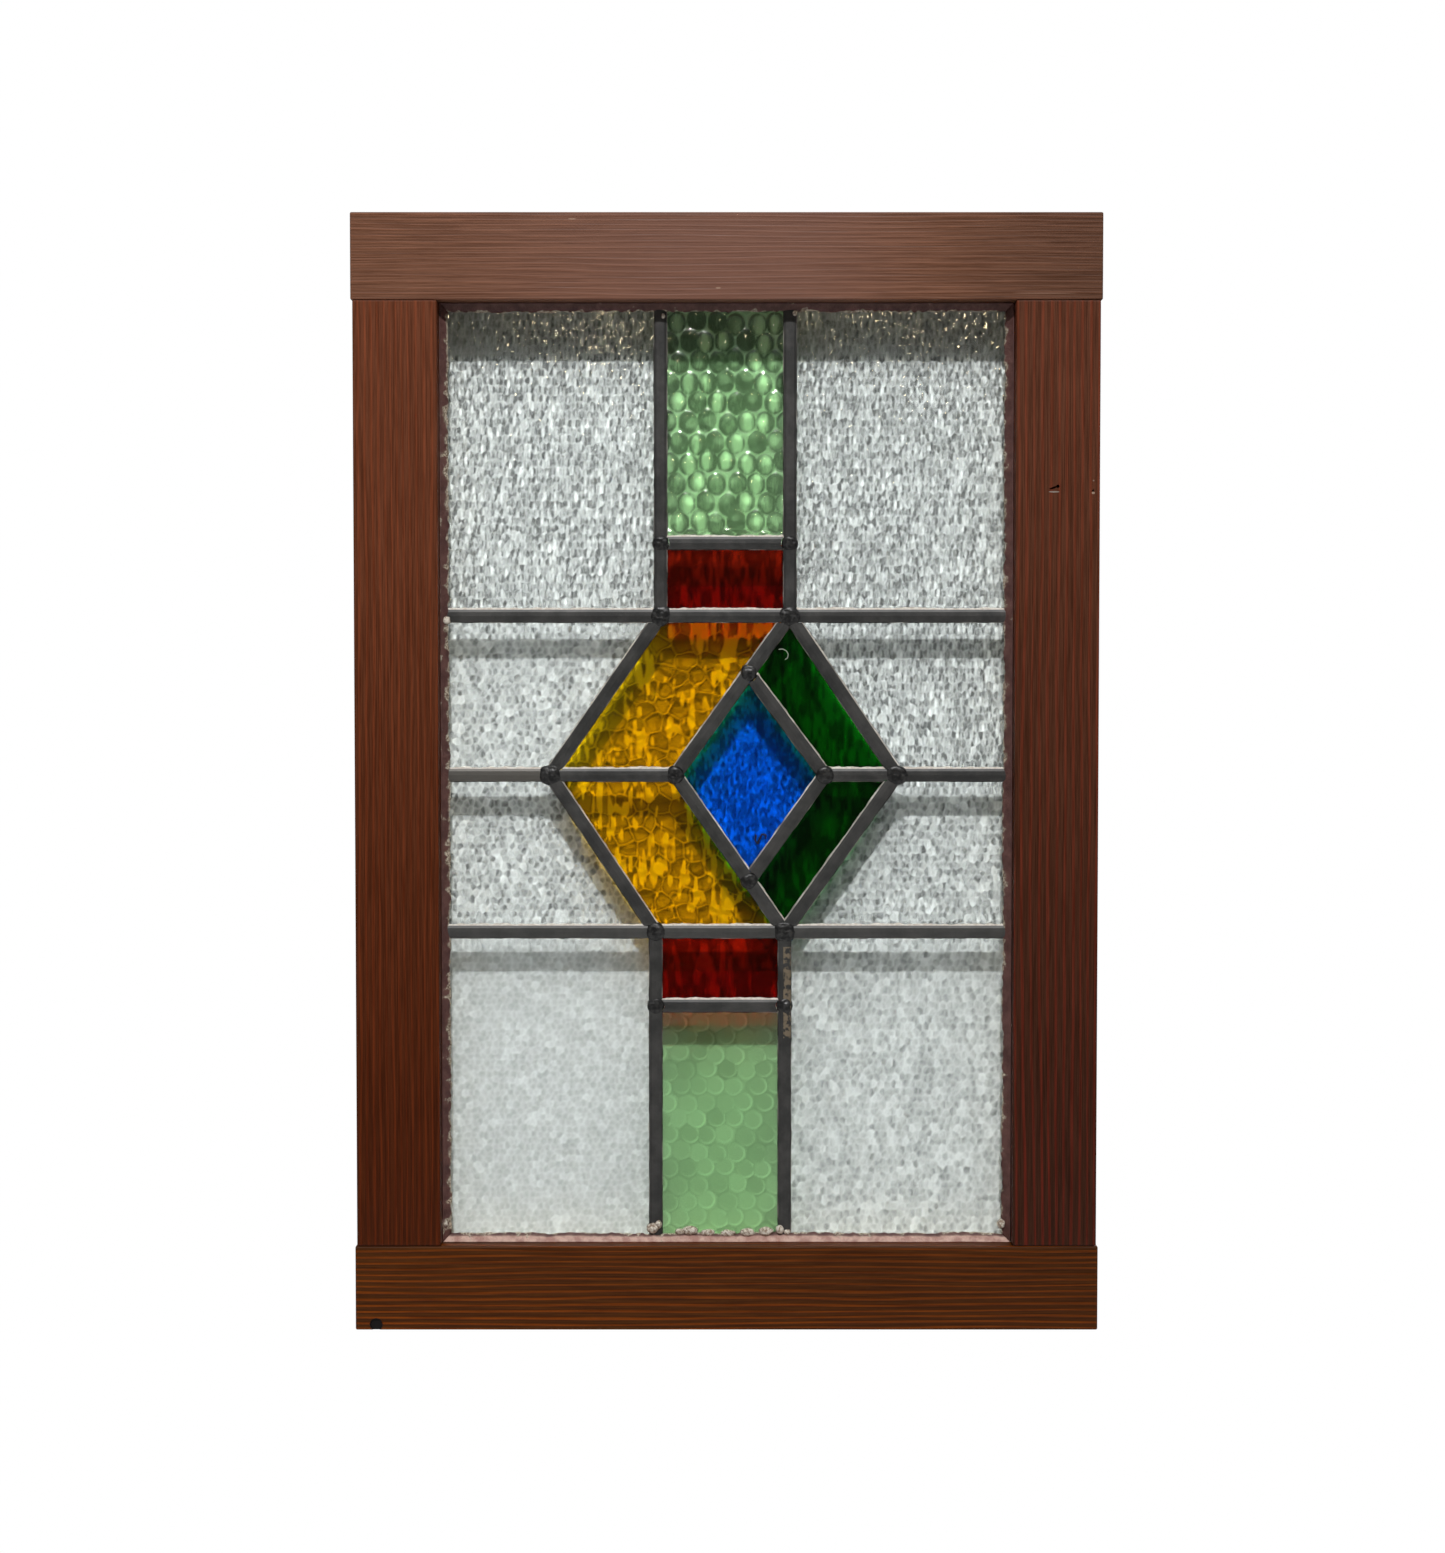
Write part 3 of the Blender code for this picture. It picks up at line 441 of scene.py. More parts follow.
# %% [markdown]
# ## Where the light goes
#
# Hammered glass works as thousands of small lenses. The lamp's rays bend where they enter the
# relief and again at the flat back, and reach the backdrop in bright lines and dull patches. A
# renderer finds these only with a very long calculation, so they are worked out here once: rays
# start on a fine grid, follow Snell's law through the pane, and are counted where they land. The
# count is stored on the pane itself, as how much of the lamp's light each spot lets through. The
# real pattern is softened by the lamp's size and the glass's haze, so only a share of it is KEPT
# for some glasses: 1 would be the full count and 0 an even light.

# %% Light through a pane
LAMP_ELEVATION = radians(44.5)
TOWARD_WINDOW = np.array([0.0, cos(LAMP_ELEVATION), -sin(LAMP_ELEVATION)])
GLASS_INDEX = 1.5
BACKDROP_GAP = 0.0006
BACKDROP_Y = WOOD_BACK + BACKDROP_GAP
MAP_STEP = 0.3 * MM
BRIGHTEST = 4.5
KEPT = {"clear": 0.5, "pale_green_top": 0.40, "pale_green_bottom": 0.3, "amber": 0.7}


def bent(way, normal, ratio):
    """Snell's law for unit directions: ratio * way + (ratio * c - sqrt(1 - ratio^2 (1 - c^2))) * normal."""
    c = -np.sum(way * normal, axis=-1, keepdims=True)
    under = 1 - ratio**2 * (1 - c**2)
    out = ratio * way + (ratio * c - np.sqrt(np.maximum(under, 1e-6))) * normal
    return out, under[..., 0] > 0


def landing(slope_x, slope_z, sink):
    """How far from its start a ray lands on the backdrop, in X and Z, for these slopes of the face."""
    normal = np.stack([slope_x, -np.ones_like(slope_x), slope_z], axis=-1)
    normal /= np.linalg.norm(normal, axis=-1, keepdims=True)
    inside, ok = bent(np.broadcast_to(TOWARD_WINDOW, normal.shape), normal, 1 / GLASS_INDEX)
    thickness = (GLASS_BACK - GLASS_FRONT) - sink
    moved = inside * (thickness / inside[..., 1])[..., None]
    outside, got_out = bent(inside, np.array([0.0, -1.0, 0.0]), GLASS_INDEX)
    gap = BACKDROP_Y - GLASS_BACK
    moved = moved + outside * (gap / np.maximum(outside[..., 1], 0.2))[..., None]
    return moved[..., 0], moved[..., 2], ok & got_out


LEVEL = np.zeros((1, 1))
print("behind flat glass the light lands", round(-landing(LEVEL, LEVEL, LEVEL)[1].item() / MM, 1), "mm lower")


# %% [markdown]
# Where many rays land close together the board is bright. Each landing is shared between the four
# squares around it, which keeps the count smooth, and a small blur stands for the lamp's size.


# %% Counting the rays
def gathered(land_x, land_z, weight, shape):
    """Counts landings on the grid, each shared between its four nearest squares."""
    i, j = np.floor(land_x).astype(int), np.floor(land_z).astype(int)
    u, v = land_x - i, land_z - j
    total = np.zeros(shape[0] * shape[1])
    parts = ((0, 0, (1 - u) * (1 - v)), (1, 0, u * (1 - v)), (0, 1, (1 - u) * v), (1, 1, u * v))
    for di, dj, part in parts:
        inside = (i + di >= 0) & (i + di < shape[1]) & (j + dj >= 0) & (j + dj < shape[0]) & weight
        place = (j + dj)[inside] * shape[1] + (i + di)[inside]
        total += np.bincount(place, part[inside], total.size)
    return total.reshape(shape)


def softened(values, rounds):
    """A small blur: each square becomes a quarter, a half and a quarter of itself and its neighbours."""
    for _ in range(rounds):
        for axis in (0, 1):
            values = 0.5 * values + 0.25 * (np.roll(values, 1, axis) + np.roll(values, -1, axis))
    return values


def light_map(name, low, high):
    """The relief, tone and light of a pane, on a grid of MAP_STEP from low to high in X and Z."""
    xs = np.arange(low[0] - 2 * MM, high[0] + 2 * MM, MAP_STEP)
    zs = np.arange(low[1] - 2 * MM, high[1] + 2 * MM, MAP_STEP)
    x, z = np.meshgrid(xs, zs)
    sink, tone = relief_of(name, x, z)
    slope_z, slope_x = np.gradient(sink, MAP_STEP)
    move_x, move_z, weight = landing(slope_x, slope_z, sink)
    plain_x, plain_z, _ = landing(LEVEL, LEVEL, LEVEL)
    column, row = np.meshgrid(np.arange(xs.size), np.arange(zs.size))
    land_x = column + (move_x - plain_x) / MAP_STEP
    land_z = row + (move_z - plain_z) / MAP_STEP
    light = np.clip(softened(gathered(land_x, land_z, weight, x.shape), 1), 0, BRIGHTEST)
    kept = next((share for glass, share in KEPT.items() if name.startswith(glass)), 1.0)
    light = 1 + kept * (light - 1)
    if name.startswith("clear_"):
        light = light * sparkle_at(z + plain_z)
    return (xs[0], zs[0]), sink, tone, light


def picked(values, corner, x, z):
    """Values of a grid at any points, blended between its four nearest squares."""
    u, v = (x - corner[0]) / MAP_STEP, (z - corner[1]) / MAP_STEP
    i = np.clip(np.floor(u).astype(int), 0, values.shape[1] - 2)
    j = np.clip(np.floor(v).astype(int), 0, values.shape[0] - 2)
    u, v = u - i, v - j
    low = values[j, i] * (1 - u) + values[j, i + 1] * u
    high = values[j + 1, i] * (1 - u) + values[j + 1, i + 1] * u
    return low * (1 - v) + high * v


# %% [markdown]
# ## Putting arrays into meshes
#
# Blender takes whole arrays with foreach_set, which is far quicker than adding vertices one at a
# time. A face is a run of corners in one long list, so faces with four corners and faces with
# hundreds can share a mesh.


# %% Mesh from arrays
def mesh_from(name, points, faces, smooth):
    """A mesh from an array of points and a list of arrays of faces, each with its own corner count."""
    counts = np.concatenate([np.full(len(block), block.shape[1]) for block in faces])
    corners = np.concatenate([block.ravel() for block in faces])
    starts = np.concatenate([[0], np.cumsum(counts)[:-1]])
    shades = np.concatenate([np.full(len(block), flag) for block, flag in zip(faces, smooth)])
    mesh = bpy.data.meshes.new(name)
    mesh.vertices.add(len(points))
    mesh.vertices.foreach_set("co", np.ascontiguousarray(points, np.float32).ravel())
    mesh.loops.add(len(corners))
    mesh.loops.foreach_set("vertex_index", corners.astype(np.int32))
    mesh.polygons.add(len(counts))
    mesh.polygons.foreach_set("loop_start", starts.astype(np.int32))
    mesh.polygons.foreach_set("use_smooth", shades.astype(bool))
    mesh.update(calc_edges=True)
    mesh.validate()
    return mesh


def note_on(mesh, name, values):
    """Stores one number for each vertex."""
    mesh.attributes.new(name, "FLOAT", "POINT").data.foreach_set("value", values.astype(np.float32))


def show(name, mesh, finishes, replaces=()):
    """Puts a finished mesh in the scene, riding on the window's one body."""
    for finish in finishes:
        mesh.materials.append(finish)
    piece = bpy.data.objects.new(name, mesh)
    bpy.context.scene.collection.objects.link(piece)
    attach(piece, "root")
    if replaces:
        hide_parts(*replaces)
    return piece


# %% [markdown]
# ## Building materials
#
# A finish is a Principled shader with a few texture nodes in front of it. These helpers keep the
# finishes short. The first adds a node and connects or fills its sockets, and the others are built
# on it: sums, a blend of two colours, a number carried onto another range, noise, and a number
# that is stored on the mesh.


# %% Helpers for finishes
def add(tree, kind, inputs=None, **settings):
    """Adds a node, sets its properties, and links or fills its inputs."""
    made = tree.nodes.new(kind)
    for name, value in settings.items():
        setattr(made, name, value)
    for name, value in (inputs or {}).items():
        if isinstance(value, bpy.types.NodeSocket):
            tree.links.new(value, made.inputs[name])
        else:
            made.inputs[name].default_value = value
    return made


def sums(tree, operation, *values):
    """The result of a Math node."""
    return add(tree, "ShaderNodeMath", dict(enumerate(values)), operation=operation).outputs[0]


def plus(tree, first, second):
    """The sum of two numbers."""
    return sums(tree, "ADD", first, second)


def times(tree, first, second):
    """The product of two numbers."""
    return sums(tree, "MULTIPLY", first, second)


def noted(tree, name):
    """A number that is stored on the mesh."""
    return add(tree, "ShaderNodeAttribute", attribute_name=name).outputs["Fac"]


def blend(tree, share, first, second, kind="MIX"):
    """A colour between two colours."""
    ends = {0: share, 6: first, 7: second}
    return add(tree, "ShaderNodeMix", ends, data_type="RGBA", blend_type=kind).outputs[2]


def between(tree, value, low, high, to_low=0.0, to_high=1.0):
    """Carries the range low to high onto another one, smoothly, and holds it there."""
    ends = {0: value, 1: low, 2: high, 3: to_low, 4: to_high}
    return add(tree, "ShaderNodeMapRange", ends, interpolation_type="SMOOTHSTEP").outputs[0]


def spots(tree, vector, scale, detail=2.0, rough=0.5):
    """The value of a Noise texture."""
    ends = {"Vector": vector, "Scale": scale, "Detail": detail, "Roughness": rough}
    return add(tree, "ShaderNodeTexNoise", ends).outputs["Fac"]


print("numbers and colours ready")

# %% [markdown]
# A new finish starts as a Principled shader with its two plain numbers. Its colour is linked last,
# and a bump may follow. Two shaders can also share a surface, such as glass and what lets the lamp
# through.


# %% Helpers for shaders
def new_finish(name, roughness, metallic=0.0):
    """A new material with its tree, its shader and the piece's own coordinates."""
    made = bpy.data.materials.new(name)
    made.use_nodes = True
    tree = made.node_tree
    shader = tree.nodes["Principled BSDF"]
    shader.inputs["Roughness"].default_value = roughness
    shader.inputs["Metallic"].default_value = metallic
    where = add(tree, "ShaderNodeTexCoord").outputs["Object"]
    return made, tree, shader, where


def coloured(tree, shader, colour):
    """Links a colour to the shader."""
    tree.links.new(colour, shader.inputs["Base Color"])


def either(tree, share, first, second):
    """Makes the surface a mix of two shaders."""
    mixed = add(tree, "ShaderNodeMixShader", {0: share, 1: first.outputs[0], 2: second.outputs[0]})
    tree.links.new(mixed.outputs[0], tree.nodes["Material Output"].inputs["Surface"])


def bump(tree, shader, height, distance, strength=1.0):
    """Raises the surface's shading by a height."""
    ends = {"Strength": strength, "Distance": distance, "Height": height}
    tree.links.new(add(tree, "ShaderNodeBump", ends).outputs["Normal"], shader.inputs["Normal"])


# %% [markdown]
# ## The glass finishes
#
# Glass bends the view and lets the lamp's light through in its own colour. The Principled shader
# does the first. For the second, rays that look for the lamp pass a Transparent shader, whose
# colour is the glass's colour times the stored light. The back and the rim of a pane have a twin
# of the finish without the stored light and tone, because light crosses the front face only once.
#
# Each glass has two colours: the one seen through it, which the shader takes the square root of,
# and the one it throws on the board. The fronts have a thin glossy coat, full on the clear and the
# pale green sheets, which catches the two warm lamps as small gold sparkles.

# %% Glass finishes
GLASS_COLOURS = {
    "clear": ((0.93, 0.965, 0.955), (0.93, 0.96, 0.95)),
    "pale_green": ((0.55, 0.77, 0.51), (0.61, 0.80, 0.56)),
    "red": ((0.36, 0.011, 0.002), (0.46, 0.004, 0.006)),
    "amber": ((0.78, 0.53, 0.003), (0.98, 0.66, 0.018)),
    "dark_green": ((0.001, 0.15, 0.004), (0.004, 0.32, 0.025)),
    "blue": ((0.004, 0.32, 0.92), (0.007, 0.40, 1.0)),
}
GLASS_ROUGHNESS = 0.09
COAT_WEIGHT = {"clear": 1.0, "pale_green": 1.0}
OTHER_COAT_WEIGHT = 0.3
COAT_ROUGHNESS = 0.03


def glass_finish(kind, front):
    """Clear or coloured glass, for a pane's front face or for its back and rim."""
    name = kind + ("_glass" if front else "_glass_back")
    made, tree, shader, _ = new_finish(name, GLASS_ROUGHNESS)
    seen, thrown = GLASS_COLOURS[kind]
    shader.inputs["Base Color"].default_value = (*seen, 1.0)
    shader.inputs["Transmission Weight"].default_value = 1.0
    shader.inputs["IOR"].default_value = GLASS_INDEX
    if front:
        shader.inputs["Coat Weight"].default_value = COAT_WEIGHT.get(kind, OTHER_COAT_WEIGHT)
        shader.inputs["Coat Roughness"].default_value = COAT_ROUGHNESS
    through = add(tree, "ShaderNodeBsdfTransparent")
    if front:
        # The seen colour times the tone: painted light and shade on the front face.
        shade = add(tree, "ShaderNodeVectorMath", {0: seen, 3: noted(tree, "tone")}, operation="SCALE")
        coloured(tree, shader, shade.outputs[0])
        tint = add(tree, "ShaderNodeVectorMath", {0: thrown, 3: noted(tree, "light")}, operation="SCALE")
        tree.links.new(tint.outputs[0], through.inputs["Color"])
    else:
        through.inputs["Color"].default_value = (1.0, 1.0, 1.0, 1.0)
    either(tree, add(tree, "ShaderNodeLightPath").outputs["Is Shadow Ray"], shader, through)
    return made


GLASS = {kind: (glass_finish(kind, True), glass_finish(kind, False)) for kind in GLASS_COLOURS}
print("glass finishes", sorted(GLASS))

# %% [markdown]
# ## The panes
#
# Every pane has four corners, so one grid stretched between them covers it: the point at shares u
# and v is (1-u)(1-v)A + u(1-v)B + uvC + (1-u)vD. The relief is read at each point's true place, so
# it isn't stretched with the grid. The rim closes the pane to its flat back, which is one face.


# %% Pane shape
def corners_of(node):
    """The four corners of a pane's front in X and Z, anticlockwise as seen from the front."""
    count = len(nodes[node].data.vertices)
    points = np.empty(count * 3, np.float32)
    nodes[node].data.vertices.foreach_get("co", points)
    points = points.reshape(-1, 3)
    front = points[points[:, 1] < GLASS_MIDDLE][:, [0, 2]]
    front = np.unique(np.round(front.astype(float), 6), axis=0)
    middle = front.mean(axis=0)
    turn = np.arctan2(front[:, 1] - middle[1], front[:, 0] - middle[0])
    return front[np.argsort(turn)]


def pane_mesh(name, corners, spacing):
    """A pane with its relief in front, a flat back and a rim, and the stored light on its front."""
    a, b, c, d = corners
    across = int(np.ceil(max(np.hypot(*(b - a)), np.hypot(*(c - d))) / spacing))
    up = int(np.ceil(max(np.hypot(*(d - a)), np.hypot(*(c - b))) / spacing))
    u, v = np.meshgrid(np.linspace(0, 1, across + 1), np.linspace(0, 1, up + 1))
    u, v = u[..., None], v[..., None]
    flat = (1 - u) * (1 - v) * a + u * (1 - v) * b + u * v * c + (1 - u) * v * d
    x, z = flat[..., 0], flat[..., 1]
    corner, sinks, tones, lights = light_map(name, corners.min(axis=0), corners.max(axis=0))
    sink = picked(sinks, corner, x, z)
    sink = np.clip(sink - sinks.min(), 0, 0.5 * (GLASS_BACK - GLASS_FRONT))
    front = np.stack([x, GLASS_FRONT + sink, z], axis=-1)
    number = np.arange(front.shape[0] * front.shape[1]).reshape(front.shape[:2])
    quads = np.stack([number[:-1, :-1], number[:-1, 1:], number[1:, 1:], number[1:, :-1]], axis=-1)
    border = np.concatenate([number[0, :-1], number[:-1, -1], number[-1, :0:-1], number[:0:-1, 0]])
    points = front.reshape(-1, 3)
    behind = points[border].copy()
    behind[:, 1] = GLASS_BACK
    rear = len(points) + np.arange(len(border))
    rim = np.stack([border, rear, np.roll(rear, -1), np.roll(border, -1)], axis=-1)
    faces = [quads.reshape(-1, 4), rim, rear[::-1][None, :]]
    mesh = mesh_from("relief_" + name, np.concatenate([points, behind]), faces, (True, False, False))
    light = picked(lights, corner, x, z).ravel()
    tone = picked(tones, corner, x, z).ravel()
    note_on(mesh, "light", np.concatenate([light, np.ones(len(border))]))
    # The tone, painted light and shade, is 1 on the back and the rim.
    note_on(mesh, "tone", np.concatenate([tone, np.ones(len(border))]))
    sides = np.zeros(len(mesh.polygons), np.int32)
    sides[quads.shape[0] * quads.shape[1] :] = 1
    mesh.polygons.foreach_set("material_index", sides)
    return mesh


# %% [markdown]
# The grid has to be finer where the relief is: the sparkling top sheets get a point every 0.7 mm,
# the calm ones every 0.9 mm, the drawn ones every millimetre and the others every 0.8 mm.

# %% All seventeen panes
SPACINGS = {"clear_top": 0.70, "clear_bottom": 0.9, "red": 1.0, "dark_green": 1.0}
OTHER_SPACING = 0.8
PANES = sorted(name for name in nodes if name.startswith("pane_"))
pane_corners = {name: corners_of(name) for name in PANES}
glass_triangles = 0
for pane in PANES:
    sheet = pane.removeprefix("pane_")
    kind = next(kind for kind in GLASS_COLOURS if sheet.startswith(kind))
    spacing = next((width for glass, width in SPACINGS.items() if sheet.startswith(glass)), OTHER_SPACING)
    shape = pane_mesh(sheet, pane_corners[pane], spacing * MM)
    show(shape.name, shape, GLASS[kind], [pane])
    glass_triangles += sum(len(face.vertices) - 2 for face in shape.polygons)
print("panes", len(PANES), "with", glass_triangles, "triangles")

# %% [markdown]
# ## Lead joints and the lines of the lead
#
# The panes stop a little short of the middle of each lead strip. Moved out by that much, their
# sides are the strips' centre lines, and their corners are the joints. Moved in instead, the sides
# are the edges of the lead, where the cement shows.


# %% Lines from the panes
def directed(start, end):
    """The length of a line, its unit direction and the unit direction to its left, in X and Z."""
    length = np.hypot(*(end - start))
    way = (end - start) / length
    return length, way, np.array([-way[1], way[0]])


def is_frame_side(start, end):
    """True for a side of a pane that lies in the wooden frame and not under lead."""
    middle = (start + end) / 2
    across = middle[0] < SIGHT_LEFT or middle[0] > SIGHT_RIGHT
    return across or middle[1] < SIGHT_BOTTOM or middle[1] > SIGHT_TOP


def moved_sides(corners, lead_move, frame_move):
    """The corners of a pane after each side moves in by its amount, found where the new sides cross."""
    lines = []
    for start, end in zip(corners, np.roll(corners, -1, axis=0)):
        _, way, inward = directed(start, end)
        move = frame_move if is_frame_side(start, end) else lead_move
        lines.append((start + inward * move, way))
    found = []
    for (p, a), (q, b) in zip([lines[-1], *lines[:-1]], lines):
        share = ((q - p)[0] * b[1] - (q - p)[1] * b[0]) / (a[0] * b[1] - a[1] * b[0])
        found.append(p + a * share)
    return np.array(found)


joint_list = []
all_corners = []
for pane in PANES:
    centre_corners = moved_sides(pane_corners[pane], -HEART_GAP, 0.0)
    all_corners.extend(centre_corners)
    for x, z in centre_corners:
        open_here = SIGHT_LEFT < x < SIGHT_RIGHT and SIGHT_BOTTOM < z < SIGHT_TOP
        if open_here and all(np.hypot(x - a, z - b) > MM for a, b in joint_list):
            joint_list.append((x, z))
joint_list.sort(key=lambda spot: (-round(spot[1], 3), spot[0]))
print("lead joints", len(joint_list))

# %% [markdown]
# ## Swept forms
#
# Cement beads and putty runs are both a cross-section carried along a line. The function takes the
# section at every station as one array and joins them into a closed skin with a cap at each end.


# %% Swept skin
def swept_mesh(name, sections):
    """A closed skin over sections of shape (stations, corners, 3), each one a closed loop."""
    stations, corners, _ = sections.shape
    number = np.arange(stations * corners).reshape(stations, corners)
    turned = np.roll(number, -1, axis=1)
    quads = np.stack([number[:-1], turned[:-1], turned[1:], number[1:]], axis=-1).reshape(-1, 4)
    caps = np.stack([number[0][::-1], number[-1]])
    points = sections.reshape(-1, 3)
    a, b, c = points[quads[:, 0]], points[quads[:, 1]], points[quads[:, 2]]
    inside = sections.mean(axis=1).repeat(corners, axis=0).reshape(points.shape)
    outward = np.einsum("ij,ij->i", np.cross(b - a, c - a), (a + c) / 2 - inside[quads[:, 0]])
    if outward.sum() < 0:
        quads, caps = quads[:, ::-1], caps[:, ::-1]
    return mesh_from(name, points, [quads, caps], (True, False))


def joined(name, meshes):
    """One mesh from several, with their notes kept."""
    shape = bmesh.new()
    for part in meshes:
        shape.from_mesh(part)
        bpy.data.meshes.remove(part)
    mesh = bpy.data.meshes.new(name)
    shape.to_mesh(mesh)
    shape.free()
    return mesh


# %% [markdown]
# ## Cement
#
# After leading, a black or grey cement is pushed under the lead's edges, and what stays outside
# dries to a thin uneven line. Where the line faces up it is pale cream, and it is widest there.
# Below a strip it is narrow and painted nearly black, as painted shade under the lead, and patches
# of dirt darken some of the pale lines too. Each line is a small wedge beside the lead's edge,
# with a width that wanders.

# %% Cement finish
cement_finish, tree, shader, where = new_finish("cement", 0.85)
# A number on the mesh: painted shade below the lead, and patches of dirt.
shade_and_grime = noted(tree, "shade_and_grime")
patchy = spots(tree, where, 420.0, 3.0, 0.6)
pale = blend(tree, between(tree, patchy, 0.35, 0.62), (0.70, 0.62, 0.54, 1), (0.90, 0.85, 0.77, 1))
dark = blend(tree, between(tree, patchy, 0.4, 0.6), (0.012, 0.011, 0.010, 1), (0.05, 0.042, 0.034, 1))
coloured(tree, shader, blend(tree, shade_and_grime, pale, dark))
bump(tree, shader, patchy, 0.0004)
print("finish", cement_finish.name)

# %% [markdown]
# A line is made for each side of each pane that lies under lead, between the pane's corners moved
# in to the lead's edge, and it keeps a millimetre clear of the wood. How far the side faces up
# sets its width and how pale it is; the mesh carries a number for each point that darkens the
# lines facing down as painted shade, with noise for patches of dirt.

# %% Cement lines
UPPER_LINE_WIDTH = 1.3 * MM
OTHER_LINE_WIDTH = 0.45 * MM
UNDER_LEAD = 0.5 * MM
EDGE_TOP = GLASS_FRONT - 0.85 * MM
LINE_STEP = 1.6 * MM


def cement_line(name, start, end, faces_up, seed):
    """A wedge along the lead's edge: its width is the usual one times 1 plus soft noise."""
    length, way, inward = directed(start, end)
    along = np.linspace(0, 1, max(4, int(length / LINE_STEP)))[:, None]
    base = start + (end - start) * along
    usual = OTHER_LINE_WIDTH + (UPPER_LINE_WIDTH - OTHER_LINE_WIDTH) * faces_up
    wander = soft_noise(along * length, along * 0 + 0.5, 5 * MM, 1.0, seed)
    wander = wander + 0.7 * soft_noise(along * length, along * 0 + 0.5, 1.8 * MM, 1.0, seed + 1)
    width = usual * np.clip(1 + 0.42 * wander, 0.25, 2.0)
    into = np.array([-UNDER_LEAD, -0.15 * MM, 0.35, 0.75, 1.0, -UNDER_LEAD])
    across = np.where(into > 0, into * width, into)
    rise = EDGE_TOP - GLASS_FRONT
    depth = GLASS_FRONT + np.array([0.9 * rise, rise, 0.8 * rise, 0.45 * rise, 0.1 * MM, 0.1 * MM])
    spot = base[:, None, :] + inward * across[..., None]
    sections = np.stack([spot[..., 0], np.broadcast_to(depth, across.shape), spot[..., 1]], axis=-1)
    mesh = swept_mesh(name, sections)
    wear = soft_noise(along * length, along * 0 + 0.5, 9 * MM, 1.0, seed + 2)
    # Painted shade where the line faces down, plus random patches of dirt.
    shade_and_grime = np.clip(0.88 - 1.2 * faces_up + 0.5 * wear, 0, 1)
    note_on(mesh, "shade_and_grime", np.repeat(shade_and_grime[:, 0], sections.shape[1]))
    return mesh


lines = []
low = np.array([SIGHT_LEFT + MM, SIGHT_BOTTOM + MM])
high = np.array([SIGHT_RIGHT - MM, SIGHT_TOP - MM])
for count, pane in enumerate(PANES):
    open_corners = moved_sides(pane_corners[pane], CAME_HALF - HEART_GAP, 0.0)
    sides = list(zip(pane_corners[pane], np.roll(pane_corners[pane], -1, axis=0)))
    for side, (start, end) in enumerate(sides):
        if is_frame_side(start, end):
            continue
        a, b = open_corners[side], open_corners[(side + 1) % 4]
        _, way, _ = directed(a, b)
        up = np.clip(way[0], 0.0, 1.0) ** 1.5
        a, b = np.clip(a, low, high), np.clip(b, low, high)
        lines.append(cement_line("line", a, b, up, 40 * count + 7 * side))
cement = joined("cement_lines", lines)
show("cement_lines", cement, [cement_finish])
print("cement lines", len(cement.vertices), "points")

# %% [markdown]
# ## Lead and solder
#
# Old lead is nearly black, with a dull shine and fine scratches along its length. The solder on
# the joints was blackened with the rest. Each joint has a low lump that was dabbed with the iron:
# a dome in polar form, r = R(angle) * s, whose rim wanders and whose height falls as
# (1 - s^2.4)^0.5, with a few ridges where the iron left it.
#
# LEAD_MARKS are stretches of lead that look different in the picture, each with its range of X, its
# range of Z, a colour and how much of it shows: tan flakes on the lower right upright strip, pale
# tarnish on the left middle strip and a fainter one all along the lower line.

# %% Lead finish
lead_finish, tree, shader, where = new_finish("dark_lead", 0.46, 0.25)
broad = spots(tree, where, 60.0, 4.0, 0.6)
fine = spots(tree, where, 900.0, 3.0, 0.6)
worn = blend(tree, between(tree, broad, 0.35, 0.7), (0.039, 0.039, 0.038, 1), (0.076, 0.074, 0.071, 1))
dusty = between(tree, fine, 0.60, 0.78, 0.0, 0.35)
worn = blend(tree, dusty, worn, (0.13, 0.125, 0.12, 1))
place = add(tree, "ShaderNodeSeparateXYZ", {0: where}).outputs
flaky = between(tree, spots(tree, where, 260.0, 3.0, 0.6), 0.42, 0.50)
LEAD_MARKS = [
    ((0.0366, 0.0416), (0.186, 0.245), (0.235, 0.185, 0.125), flaky),
    ((-0.1830, -0.1180), (0.351, 0.3605), (0.145, 0.135, 0.118), 0.75),
    ((-0.1830, 0.1830), (0.250, 0.2595), (0.110, 0.110, 0.105), 0.35),
]
for (left, right), (low, high), colour, much in LEAD_MARKS:
    in_x = sums(tree, "COMPARE", place["X"], (left + right) / 2, (right - left) / 2)
    in_z = sums(tree, "COMPARE", place["Z"], (low + high) / 2, (high - low) / 2)
    worn = blend(tree, times(tree, times(tree, in_x, in_z), much), worn, (*colour, 1))
coloured(tree, shader, worn)
bump(tree, shader, plus(tree, broad, times(tree, fine, 0.25)), 0.0007, 0.5)
for name, node in nodes.items():
    if name.startswith("came_"):
        node.data.materials.clear()
        node.data.materials.append(lead_finish)

solder_finish, tree, shader, where = new_finish("blackened_solder", 0.36, 0.3)
lumpy = spots(tree, where, 380.0, 3.0, 0.6)
dark_spots = blend(tree, between(tree, lumpy, 0.4, 0.65), (0.016, 0.016, 0.016, 1), (0.052, 0.051, 0.050, 1))
coloured(tree, shader, dark_spots)
bump(tree, shader, lumpy, 0.0006, 0.6)
print("finishes", lead_finish.name, solder_finish.name)

# %% [markdown]
# Every joint has a lump in front and another behind. The more panes meet there, the more strips do
# and the larger the lump is. The joints far from the middle are a little wider than high, as they
# are in the picture.

# %% Solder lumps
SOLDER_RADIUS = 5.7 * MM
SOLDER_HEIGHT = 2.05 * MM
SOLDER_BASE = 0.0021
RINGS = 9
SPOKES = 30
OUTER_JOINT = 0.1
OUTER_WIDENING = 1.22


